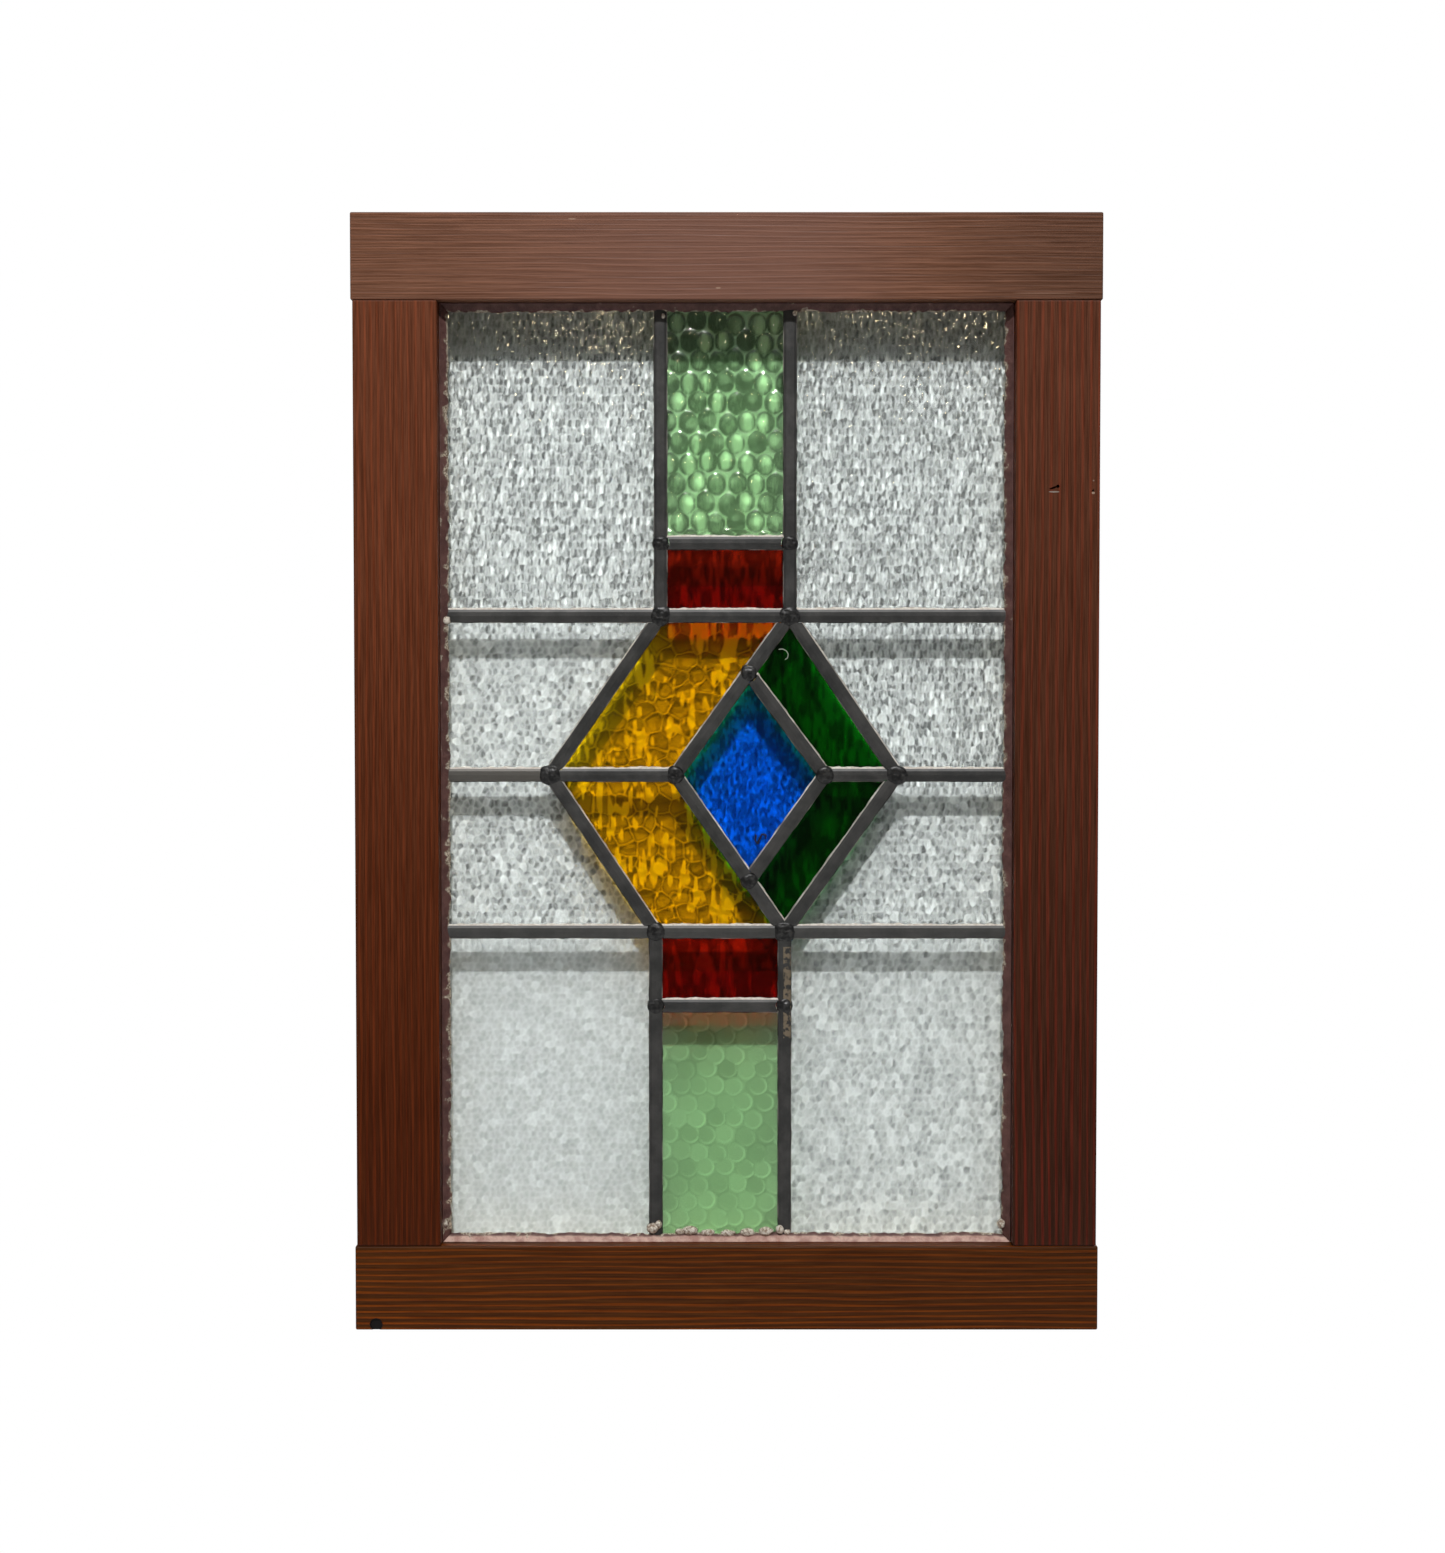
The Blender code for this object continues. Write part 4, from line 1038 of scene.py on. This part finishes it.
def dab(name, x, z, side, base, height, radius, wide, seed):
    """A dome on a plane in front (side -1) or behind (side 1), a base from the glass's middle."""
    random = np.random.default_rng(seed)
    angle = np.linspace(0, 2 * pi, SPOKES, endpoint=False)
    share = np.linspace(0, 1, RINGS + 1)[1:]
    lobes = (random.uniform(-0.05, 0.05) * np.cos(k * angle + random.uniform(0, 6)) for k in (2, 3, 4, 5))
    reach = radius * (1 + sum(lobes))
    r = reach[None, :] * share[:, None]
    px, pz = x + wide * r * np.cos(angle), z + r * np.sin(angle)
    rise = height * np.sqrt(np.clip(1 - share**2.4, 0, 1))[:, None] * np.ones(SPOKES)
    ridges = 0.30 * MM * soft_noise(px, pz, 3.2 * MM, 1.6 * MM, seed) * np.sqrt(1 - share**6)[:, None]
    depth = GLASS_MIDDLE + side * (base + rise + ridges)
    rings = np.stack([px, depth, pz], axis=-1)
    top = np.array([[x, GLASS_MIDDLE + side * (base + height), z]])
    points = np.concatenate([top, rings.reshape(-1, 3)])
    number = 1 + np.arange(RINGS * SPOKES).reshape(RINGS, SPOKES)
    turned = np.roll(number, -1, axis=1)
    fan = np.stack([np.zeros(SPOKES, int), number[0], turned[0]], axis=-1)
    quads = np.stack([number[:-1], number[1:], turned[1:], turned[:-1]], axis=-1).reshape(-1, 4)
    under = number[-1][::-1][None, :]
    faces = [fan, quads, under]
    if side > 0:
        faces = [block[:, ::-1] for block in faces]
    return mesh_from(name, points, faces, (True, True, False))


lumps = []
for count, (x, z) in enumerate(joint_list):
    meeting = sum(np.hypot(x - a, z - b) < MM for a, b in all_corners)
    size = SOLDER_RADIUS * (0.72 + 0.11 * meeting + 0.05 * np.sin(3.7 * count))
    wide = OUTER_WIDENING if abs(x) > OUTER_JOINT else 1.0
    for side in (-1, 1):
        seed = 100 + 2 * count + (side > 0)
        lumps.append(dab("lump", x, z, side, SOLDER_BASE, SOLDER_HEIGHT, size, wide, seed))
    print("joint", count, (round(x, 4), round(z, 4)), "meeting", meeting, "radius", round(size / MM, 2), "mm")
solder = joined("solder_lumps", lumps)
show("solder_lumps", solder, [solder_finish])
print("solder lumps", len(lumps))

# %% [markdown]
# ## Putty
#
# The panel is held in the rebate by putty. In front a narrow fillet was run along the wood and
# painted with the frame, and it has gone uneven: its toe wanders over the glass, crumbs of bare
# putty show along it, and it climbs a little over the ends of the lead. The fillet's face is a
# slope from the wood to the glass with soft lumps on it, and its ends are mitred in the corners.

# %% Putty finishes
putty_finish, tree, shader, where = new_finish("painted_putty", 0.55)
crumb = noted(tree, "crumb")
worn_and_lit_ledge = noted(tree, "ledge")
blot = spots(tree, where, 130.0, 4.0, 0.65)
grain = spots(tree, where, 900.0, 3.0, 0.7)
paint = blend(tree, between(tree, blot, 0.3, 0.7), (0.080, 0.030, 0.026, 1), (0.160, 0.070, 0.058, 1))
# The ledge's pale paint stands for wear and for painted light where its face looks up.
worn_and_lit_ledge_paint = blend(tree, between(tree, blot, 0.35, 0.65), (0.50, 0.27, 0.22, 1), (0.76, 0.52, 0.43, 1))
paint = blend(tree, worn_and_lit_ledge, paint, worn_and_lit_ledge_paint)
bare = blend(tree, between(tree, grain, 0.4, 0.6), (0.16, 0.11, 0.07, 1), (0.72, 0.64, 0.50, 1))
chipped = times(tree, between(tree, plus(tree, blot, crumb), 0.98, 1.12), 0.9)
coloured(tree, shader, blend(tree, chipped, paint, bare))
bump(tree, shader, plus(tree, grain, blot), 0.0009, 0.6)

bare_finish, tree, shader, where = new_finish("bare_putty", 0.8)
blot = spots(tree, where, 90.0, 4.0, 0.65)
stain = blend(tree, between(tree, blot, 0.3, 0.7), (0.40, 0.33, 0.24, 1), (0.62, 0.56, 0.44, 1))
coloured(tree, shader, stain)
bump(tree, shader, spots(tree, where, 500.0, 4.0, 0.7), 0.0008, 0.7)
print("finishes", putty_finish.name, bare_finish.name)

# %% [markdown]
# A run is a section carried along one side of the opening. Its shares go from 0 at the wood to 1 at
# the toe on the glass, and both ends are cut at the corner's mitre. In front the toe wanders, and
# the run rises where a strip of lead ends under it. Two numbers are stored for the finish: "crumb",
# how easily bare putty shows, and "ledge", the upper face of the bottom run, which is painted pale,
# partly for wear and partly as painted light on the face that looks up. The runs behind are plain
# slopes that fill the rebate.

# %% Putty runs in front
PUTTY_REACH = 5.2 * MM
PUTTY_STEP = 1.3 * MM
WOOD_GAP = 0.0003
TOE_GAP = 0.0001
USUAL_CRUMBS = {"left": 0.30}
OTHER_CRUMBS = 0.20
FRONT_SHARES = np.array([0.0, 0.0, 0.12, 0.26, 0.42, 0.58, 0.74, 0.88, 1.0, 1.0])
WOOD_EDGE_Y = WOOD_FRONT + 0.0104
TOE_Y = GLASS_FRONT - 0.0009
RUN_SIDES = {
    "left": ((SIGHT_LEFT, SIGHT_TOP), (SIGHT_LEFT, SIGHT_BOTTOM), (1, 0)),
    "right": ((SIGHT_RIGHT, SIGHT_BOTTOM), (SIGHT_RIGHT, SIGHT_TOP), (-1, 0)),
    "top": ((SIGHT_RIGHT, SIGHT_TOP), (SIGHT_LEFT, SIGHT_TOP), (0, -1)),
    "bottom": ((SIGHT_LEFT, SIGHT_BOTTOM), (SIGHT_RIGHT, SIGHT_BOTTOM), (0, 1)),
}
end_spots = []
for pane in PANES:
    for x, z in moved_sides(pane_corners[pane], -HEART_GAP, 0.0):
        if not (SIGHT_LEFT < x < SIGHT_RIGHT and SIGHT_BOTTOM < z < SIGHT_TOP):
            end_spots.append((x, z))
end_spots = np.array(end_spots)


def stations_of(side, step):
    """The stations of a run, from 0 to 1, and their distances from its start."""
    start, end, _ = (np.array(part, float) for part in RUN_SIDES[side])
    length, _, _ = directed(start, end)
    t = np.linspace(0, 1, int(length / step))[:, None]
    return t, t * length


def run_places(side, t, wall, toe, share):
    """X and Z over a run: wall + (toe - wall) * share across, and as much less along at each end."""
    start, end, inward = (np.array(part, float) for part in RUN_SIDES[side])
    length, way, _ = directed(start, end)
    across = wall + (toe - wall) * share
    along = across + t * (length - 2 * across)
    spot = start + way * along[..., None] + inward * across[..., None]
    return spot[..., 0], spot[..., 1]


def front_putty(name, side, seed):
    """A fillet: from the wood's edge down to the glass, with a wandering toe and soft lumps."""
    t, distance = stations_of(side, PUTTY_STEP)
    toe = PUTTY_REACH * (1 + 0.10 * soft_noise(distance, t * 0, 16 * MM, 1, seed))
    toe = toe + 0.55 * MM * soft_noise(distance, t * 0, 2.6 * MM, 1, seed + 1)
    share = FRONT_SHARES[None, :]
    x, z = run_places(side, t, WOOD_GAP, toe, share)
    slope = WOOD_EDGE_Y + (TOE_Y - WOOD_EDGE_Y) * share**0.8
    lumps_here = 0.35 * MM * soft_noise(x, z, 4 * MM, 4 * MM, seed + 2)
    lumps_here = lumps_here + 0.30 * MM * soft_noise(x, z, 1.7 * MM, 1.7 * MM, seed + 3) * share**2
    gap = np.min(np.hypot(x[..., None] - end_spots[:, 0], z[..., None] - end_spots[:, 1]), axis=-1)
    over_lead = np.exp(-((gap / (8 * MM)) ** 4))
    depth = slope - np.abs(lumps_here) * np.sin(pi * np.clip(share, 0.04, 0.96))
    depth = np.minimum(depth, depth * (1 - over_lead) + (CAME_FRONT - 0.5 * MM) * over_lead)
    depth[:, 0] = GLASS_FRONT - WOOD_GAP
    depth[:, -1] = GLASS_FRONT - TOE_GAP
    mesh = swept_mesh(name, np.stack([x, depth, z], axis=-1))
    rough = soft_noise(x, z, 3 * MM, 3 * MM, seed + 4) * 0.25
    usual = USUAL_CRUMBS.get(side, OTHER_CRUMBS)
    crumbs = np.clip(usual + rough + 0.42 * share**3 + 0.3 * over_lead, 0, 0.75)
    note_on(mesh, "crumb", crumbs.ravel())
    # The ledge: the upper face of the bottom run, pale for wear and painted light.
    worn_and_lit_face = 1 - rising(share, 0.62, 0.78) + 0 * x
    note_on(mesh, "ledge", worn_and_lit_face.ravel() if side == "bottom" else np.zeros(crumbs.size))
    return mesh


print("end spots of the lead", len(end_spots))

# %% [markdown]
# Behind the panel nothing is seen in the picture, so the runs there are what such a window has: a
# plain slope of bare putty from the glass back to the wood, as wide as the rebate.


# %% Putty runs behind, and all eight shown
BACK_STEP = 2.2 * MM
REBATE_WALL = -0.0096
BACK_REACH = 0.0015
BACK_SHARES = np.array([0.0, 0.0, 0.2, 0.4, 0.6, 0.8, 1.0, 1.0])


def back_putty(name, side, seed):
    """A plain slope behind the panel, from the glass back to the wood, with soft lumps."""
    t, distance = stations_of(side, BACK_STEP)
    share = BACK_SHARES[None, :]
    toe = BACK_REACH + 0.0009 * soft_noise(distance, t * 0, 9 * MM, 1, seed)
    x, z = run_places(side, t, REBATE_WALL, toe, share)
    outer = WOOD_BACK - 0.0015
    inner = GLASS_BACK + 0.0013
    swell = 0.5 * MM * soft_noise(x, z, 6 * MM, 6 * MM, seed + 1)
    depth = outer + (inner - outer) * share + swell * np.sin(pi * np.clip(share, 0.05, 1))
    depth[:, 0] = GLASS_BACK + WOOD_GAP
    depth[:, -1] = GLASS_BACK + TOE_GAP
    return swept_mesh(name, np.stack([x, depth, z], axis=-1))


for count, side in enumerate(RUN_SIDES):
    fillet = front_putty("painted_putty_" + side, side, 500 + 20 * count)
    show(fillet.name, fillet, [putty_finish], ["putty_front_" + side])
    bed = back_putty("bare_putty_" + side, side, 700 + 20 * count)
    show(bed.name, bed, [bare_finish], ["putty_back_" + side])
print("putty runs", 2 * len(RUN_SIDES))

# %% [markdown]
# ## Crumbs and threads
#
# Crumbs of bare putty stick where the lead runs into the frame, most of them along the ledge. They
# are the same dabs as the solder, smaller and cream. A pale hair lies on the upper dark green pane
# and a dark one on the blue: each is a thin tube along a curve.
#
# A crumb has its X and Z in metres, its size in millimetres and how much wider than high it is. The
# crumbs on the ledge sit lower than those on the lead.

# %% Crumbs and threads
CRUMBS = [
    (-0.1822, 0.0660, 2.6, 0.8), (-0.0478, 0.0625, 3.0, 1.1), (-0.0440, 0.0650, 2.2, 0.9),
    (-0.0300, 0.0602, 1.8, 1.5), (-0.0235, 0.0610, 2.6, 1.6), (-0.0120, 0.0596, 1.8, 2.2),
    (0.0010, 0.0592, 2.0, 2.0), (0.0135, 0.0598, 2.3, 1.7), (0.0255, 0.0604, 2.6, 1.5),
    (0.0345, 0.0615, 2.6, 0.9), (0.0392, 0.0600, 1.6, 1.2), (0.1776, 0.0655, 2.7, 0.8),
    (-0.0405, 0.6490, 1.4, 0.8), (0.0436, 0.6508, 1.5, 0.8), (-0.1795, 0.4550, 2.4, 0.9),
]
LEDGE_HEIGHT = 9 * MM
LOW_CRUMB = 2.6 * MM
HIGH_CRUMB = 3.0 * MM
crumbs = []
for count, (x, z, size, wide) in enumerate(CRUMBS):
    radius = 1.2 * size * MM
    base = LOW_CRUMB if SIGHT_BOTTOM + LEDGE_HEIGHT > z else HIGH_CRUMB
    crumbs.append(dab("crumb", x, z, -1, base, 0.9 * radius, radius, wide, 900 + count))
crumb_finish, tree, shader, where = new_finish("cream_crumbs", 0.85)
patchy = spots(tree, where, 620.0, 3.0, 0.65)
cream = blend(tree, between(tree, patchy, 0.40, 0.58), (0.34, 0.25, 0.18, 1), (0.88, 0.81, 0.70, 1))
coloured(tree, shader, cream)
bump(tree, shader, patchy, 0.0008)
show("putty_crumbs", joined("putty_crumbs", crumbs), [crumb_finish])


def thread(name, points, radius, colour):
    """A tube of six sides along a curve of points in X and Z, lying on the glass."""
    points = np.array(points, float) * MM
    steps = np.linspace(0, len(points) - 1, 40)
    x = np.interp(steps, np.arange(len(points)), points[:, 0])
    z = np.interp(steps, np.arange(len(points)), points[:, 1])
    way = np.stack([np.gradient(x), np.gradient(z)], axis=-1)
    way /= np.linalg.norm(way, axis=-1, keepdims=True)
    turn = np.linspace(0, 2 * pi, 6, endpoint=False)
    side = radius * np.cos(turn)[None, :]
    px = x[:, None] - way[:, 1:2] * side
    pz = z[:, None] + way[:, 0:1] * side
    depth = GLASS_FRONT - 0.5 * MM + radius * np.sin(turn)[None, :] + 0 * px
    finish, _, shader, _ = new_finish(name, 0.6)
    shader.inputs["Base Color"].default_value = (*colour, 1)
    return show(name, swept_mesh(name, np.stack([px, depth, pz], axis=-1)), [finish])


HAIR = [(33.5, 436.5), (36.0, 436.8), (38.4, 435.6), (39.6, 433.4), (39.2, 431.0), (37.6, 430.0)]
SQUIGGLE = [
    (19.0, 317.4), (18.4, 313.8), (20.0, 311.6), (21.2, 314.6), (22.8, 317.6), (25.4, 317.2), (25.2, 314.4),
]
thread("pale_hair", HAIR, 0.20 * MM, (0.62, 0.60, 0.56))
thread("dark_thread", SQUIGGLE, 0.6 * MM, (0.006, 0.008, 0.012))
print("crumbs", len(CRUMBS), "threads", 2)

# %% [markdown]
# ## Stained softwood
#
# The frame is softwood under a mahogany stain. Softwood shows stripes along its length: the broad
# soft bands drink the stain and go dark, and the narrow hard lines between them stay redder and
# lighter. The stripes are thin peaks of a sine across the grain, bent by slow noise, and fine
# fibres are noise stretched more than fifty times along the grain. A satin varnish lies over it all.
#
# WOOD_MARKS are the knocks and scratches of this frame, and a near black painted shade over the
# peg hole in the bottom rail: the place in X and Z, half the width and height in millimetres, and
# the colour. The table after it has three numbers for a rail: how much painted sheen it has in
# the middle, where it begins to darken towards its right end, and how dark that end is.

# %% Marks on the wood
WOOD_MARKS = {
    # The near black disc over the bottom rail's peg hole is painted shade.
    "bottom_rail": [((-0.2248, 0.0034), (4.25, 4.25), (0.011, 0.010, 0.010))],
    "right_stile": [
        ((0.2076, 0.5359), (3.4, 0.45), (0.32, 0.27, 0.23)),
        ((0.2324, 0.5352), (1.0, 0.7), (0.42, 0.30, 0.22)),
        ((0.2326, 0.5430), (0.5, 0.5), (0.30, 0.20, 0.15)),
    ],
    "top_rail": [
        ((-0.0976, 0.7076), (2.6, 0.35), (0.42, 0.27, 0.19)),
        ((-0.0053, 0.6643), (1.6, 0.5), (0.40, 0.25, 0.17)),
        ((0.2010, 0.6610), (20.0, 0.4), (0.25, 0.135, 0.09)),
    ],
}
SHEEN_AND_DIMMING = {"top_rail": (0.55, 0.08, 0.66), "bottom_rail": (0.0, -0.24, 0.84)}
NO_SHEEN_OR_DIMMING = (0.0, 0.24, 1.0)
PAINTED_SHEEN_COLOUR = (0.25, 0.125, 0.094, 1)


def mark_mask(tree, where, place, half):
    """1 inside an ellipse on the front of the wood, 0 outside; half is its half width and height in mm."""
    centre = (place[0], WOOD_FRONT, place[1])
    size = (1 / (half[0] * MM), 100.0, 1 / (half[1] * MM))
    offset = add(tree, "ShaderNodeVectorMath", {0: where, 1: centre}, operation="SUBTRACT").outputs[0]
    scaled = add(tree, "ShaderNodeVectorMath", {0: offset, 1: size}, operation="MULTIPLY").outputs[0]
    far = add(tree, "ShaderNodeVectorMath", {0: scaled}, operation="LENGTH").outputs["Value"]
    return between(tree, far, 0.92, 1.05, 1.0, 0.0)


print("marks on the wood", sum(len(marks) for marks in WOOD_MARKS.values()))

# %% [markdown]
# All four members share one finish, each with its own stripes, colours and seed, because no two
# pieces of wood have the same grain. The stiles get paler and redder towards the top, as in the
# picture, which is a painted sheen.


# %% Wood finish
def wood_finish(name, along, period, soft, hard, strength, sheen_with_height, seed):
    """Stained softwood with its grain along X or Z.

    A stripe comes every period. The soft and hard colours are those of the two bands, strength is
    how much the hard ones stand out, and the number after it how much painted sheen, redder and
    paler, the wood gets with height."""
    made, tree, shader, where = new_finish(name, 0.42)
    shader.inputs["Specular IOR Level"].default_value = 0.15
    apart = add(tree, "ShaderNodeSeparateXYZ", {0: where})
    run = apart.outputs["X" if along == "X" else "Z"]
    across = apart.outputs["Z" if along == "X" else "X"]
    deep = apart.outputs["Y"]
    slow = add(tree, "ShaderNodeCombineXYZ", {0: times(tree, run, 0.12), 1: across, 2: deep}).outputs[0]
    bend = spots(tree, slow, 28.0, 2.0, 0.5)
    radius = plus(tree, plus(tree, across, times(tree, deep, 0.35)), 0.013 * seed)
    radius = plus(tree, radius, times(tree, bend, 0.011))
    wave = sums(tree, "SINE", times(tree, radius, 2 * pi / period))
    strong = spots(tree, add(tree, "ShaderNodeCombineXYZ", {0: radius}).outputs[0], 120.0, 1.0)
    line = between(tree, plus(tree, wave, times(tree, strong, 0.9)), 0.55, 1.45)
    long = add(tree, "ShaderNodeCombineXYZ", {0: times(tree, run, 0.018), 1: across, 2: deep}).outputs[0]
    fibre = spots(tree, long, 1500.0, 3.0, 0.6)
    pores = spots(tree, long, 4200.0, 2.0, 0.7)
    cloud = spots(tree, slow, 9.0, 3.0, 0.6)
    share = times(tree, line, times(tree, between(tree, cloud, 0.2, 0.8, 0.5, 1.1), strength))
    # Painted sheen: both band colours turn redder and paler with height.
    up = between(tree, apart.outputs["Z"], 0.05, 0.70, 0.0, sheen_with_height)
    soft = blend(tree, up, (*soft, 1), (0.26, 0.083, 0.038, 1))
    hard = blend(tree, up, (*hard, 1), (0.42, 0.105, 0.040, 1))
    tone = blend(tree, share, soft, hard)
    fibres = blend(tree, between(tree, fibre, 0.3, 0.7), (0.66, 0.62, 0.58, 1), (1.30, 1.34, 1.40, 1))
    tone = blend(tree, 1.0, tone, fibres, "MULTIPLY")
    tone = blend(tree, between(tree, pores, 0.62, 0.74, 0.0, 0.5), tone, (0.02, 0.008, 0.004, 1))
    middle, right_end, dark_end = SHEEN_AND_DIMMING.get(name.removeprefix("stained_"), NO_SHEEN_OR_DIMMING)
    x = apart.outputs["X"]
    # Painted sheen across the middle of a rail, then darker towards its right end.
    painted_sheen = times(tree, between(tree, x, -0.24, 0.0, 0.0, middle), between(tree, x, 0.03, 0.15, 1.0, 0.0))
    tone = blend(tree, painted_sheen, tone, PAINTED_SHEEN_COLOUR)
    dim = between(tree, x, right_end, 0.24, 1.0, dark_end)
    tone = add(tree, "ShaderNodeVectorMath", {0: tone, 3: dim}, operation="SCALE").outputs[0]
    for place, half, colour in WOOD_MARKS.get(name.removeprefix("stained_"), []):
        tone = blend(tree, mark_mask(tree, where, place, half), tone, (*colour, 1))
    coloured(tree, shader, tone)
    tree.links.new(between(tree, fibre, 0.3, 0.7, 0.36, 0.52), shader.inputs["Roughness"])
    bump(tree, shader, plus(tree, times(tree, fibre, 0.5), times(tree, line, 0.4)), 0.0004, 0.5)
    return made


WOODS = {
    "top_rail": ("X", 0.0034, (0.202, 0.085, 0.046), (0.276, 0.111, 0.059), 0.55, 0.0, 1),
    "bottom_rail": ("X", 0.0037, (0.080, 0.022, 0.002), (0.270, 0.052, 0.001), 0.75, 0.0, 2),
    "left_stile": ("Z", 0.0042, (0.072, 0.013, 0.001), (0.155, 0.022, 0.002), 0.6, 0.48, 3),
    "right_stile": ("Z", 0.0052, (0.048, 0.014, 0.006), (0.130, 0.014, 0.006), 0.80, 0.34, 4),
}
for name, values in WOODS.items():
    nodes[name].data.materials.clear()
    nodes[name].data.materials.append(wood_finish("stained_" + name, *values))
print("wood finishes", sorted(WOODS))

# %% [markdown]
# ## The studio
#
# The window was photographed in front of a pale board, with a small lamp high in front of it, so
# the lead and the coloured panes throw their shadows and colours on the board a little lower
# down. The board here fills the opening and is seen only from its front, so the window's back can
# be looked at too, by a soft lamp of its own. A white world gives the soft light of the room.


# %% Board behind the window
def plain_sheet(name, centre, half_x, half_y, turn_up):
    """A flat rectangle, upright and facing -Y, or lying and facing up."""
    a, b = half_x, half_y
    if turn_up:
        points = [(-a, -b, 0), (a, -b, 0), (a, b, 0), (-a, b, 0)]
    else:
        points = [(-a, 0, -b), (a, 0, -b), (a, 0, b), (-a, 0, b)]
    mesh = bpy.data.meshes.new(name)
    mesh.from_pydata([Vector(point) + Vector(centre) for point in points], [], [(0, 1, 2, 3)])
    sheet = bpy.data.objects.new(name, mesh)
    bpy.context.scene.collection.objects.link(sheet)
    return sheet


MIDDLE_Z = (solid_low.z + solid_high.z) / 2
BOARD_EDGE = 0.0085
board_middle = (0, BACKDROP_Y, (SIGHT_BOTTOM + SIGHT_TOP) / 2)
board_half = (SIGHT_RIGHT + BOARD_EDGE, (SIGHT_TOP - SIGHT_BOTTOM) / 2 + BOARD_EDGE)
board = plain_sheet("board", board_middle, *board_half, False)
made, tree, shader, _ = new_finish("pale_board", 0.9)
shader.inputs["Base Color"].default_value = (0.86, 0.86, 0.86, 1)
shader.inputs["Specular IOR Level"].default_value = 0.0
hole = add(tree, "ShaderNodeBsdfTransparent")
behind = add(tree, "ShaderNodeNewGeometry").outputs["Backfacing"]
either(tree, behind, shader, hole)
board.data.materials.append(made)
print("board", BOARD_EDGE / MM, "mm past the opening, at Y", BACKDROP_Y)

# %% [markdown]
# The floor lies well below the window, because the picture shows none. The small hard lamp high in
# front throws the shadows and the coloured light. Two weak warm ones further down are there for
# their reflections, the gold sparkles in the shadowed glass. A large soft one lights the back.
#
# The world is plain white to the camera. The light that it gives comes from above and falls to
# nearly nothing from just above the horizon down, because the glass mirrors a dark room there. It
# doesn't reach the board through the panes, so the board shows the lamp's light and colours alone.

# %% Floor, lamps and room light
FLOOR_Z = -0.45
floor = plain_sheet("floor", (0, -0.6, FLOOR_Z), 2.2, 1.3, True)
made, _, shader, _ = new_finish("pale_floor", 0.7)
shader.inputs["Base Color"].default_value = (0.80, 0.80, 0.79, 1)
floor.data.materials.append(made)

LAMP_DISTANCE = 4.0
LAMP_SIZE = 0.09
LAMP_WATTS = 98.0
ROOM_LIGHT = 0.34
DARK_SIDE = 0.02
WARM_LAMPS = ((0.36, -3.2, 1.27), (-0.26, -3.2, 1.24))
WARM_WATTS = 1.8
WARM_LOOK = {"color": (1.0, 0.80, 0.45), "shadow_soft_size": 0.02}
REAR_PLACE = Vector((1.1, 2.9, 1.3))
REAR_WATTS = 16.0
REAR_SIZE = 1.2


def new_lamp(name, kind, watts, look, place, way=None):
    """A lamp at a place, shining along a way if it has one."""
    data = bpy.data.lights.new(name, kind)
    data.energy = watts
    for setting, value in look.items():
        setattr(data, setting, value)
    made = bpy.data.objects.new(name, data)
    made.location = place
    if way is not None:
        made.rotation_euler = way.to_track_quat("-Z", "Y").to_euler()
    bpy.context.scene.collection.objects.link(made)
    return made


aim = Vector((0, GLASS_MIDDLE, MIDDLE_Z))
shine = Vector(TOWARD_WINDOW)
lamp = new_lamp("lamp", "AREA", LAMP_WATTS, {"size": LAMP_SIZE}, aim - shine * LAMP_DISTANCE, shine)
lamp.visible_transmission = False
for count, place in enumerate(WARM_LAMPS):
    warm = new_lamp("warm_lamp_" + str(count), "POINT", WARM_WATTS, WARM_LOOK, place)
    warm.visible_transmission = False
new_lamp("rear_lamp", "AREA", REAR_WATTS, {"size": REAR_SIZE}, REAR_PLACE, aim - REAR_PLACE)

world = bpy.data.worlds.new("room")
world.use_nodes = True
tree = world.node_tree
path = add(tree, "ShaderNodeLightPath").outputs
after_board = sums(tree, "GREATER_THAN", path["Diffuse Depth"], 0.5)
through_pane = times(tree, path["Is Transmission Ray"], after_board)
way = add(tree, "ShaderNodeSeparateXYZ", {0: add(tree, "ShaderNodeTexCoord").outputs["Generated"]})
above = between(tree, way.outputs["Z"], 0.15, 0.75, DARK_SIDE, ROOM_LIGHT)
strength = times(tree, sums(tree, "SUBTRACT", 1.0, through_pane), above)
strength = sums(tree, "MAXIMUM", strength, path["Is Camera Ray"])
tree.links.new(strength, tree.nodes["Background"].inputs["Strength"])
tree.nodes["Background"].inputs["Color"].default_value = (1, 1, 1, 1)
bpy.context.scene.world = world
print("lamp", tuple(round(part, 3) for part in lamp.location))
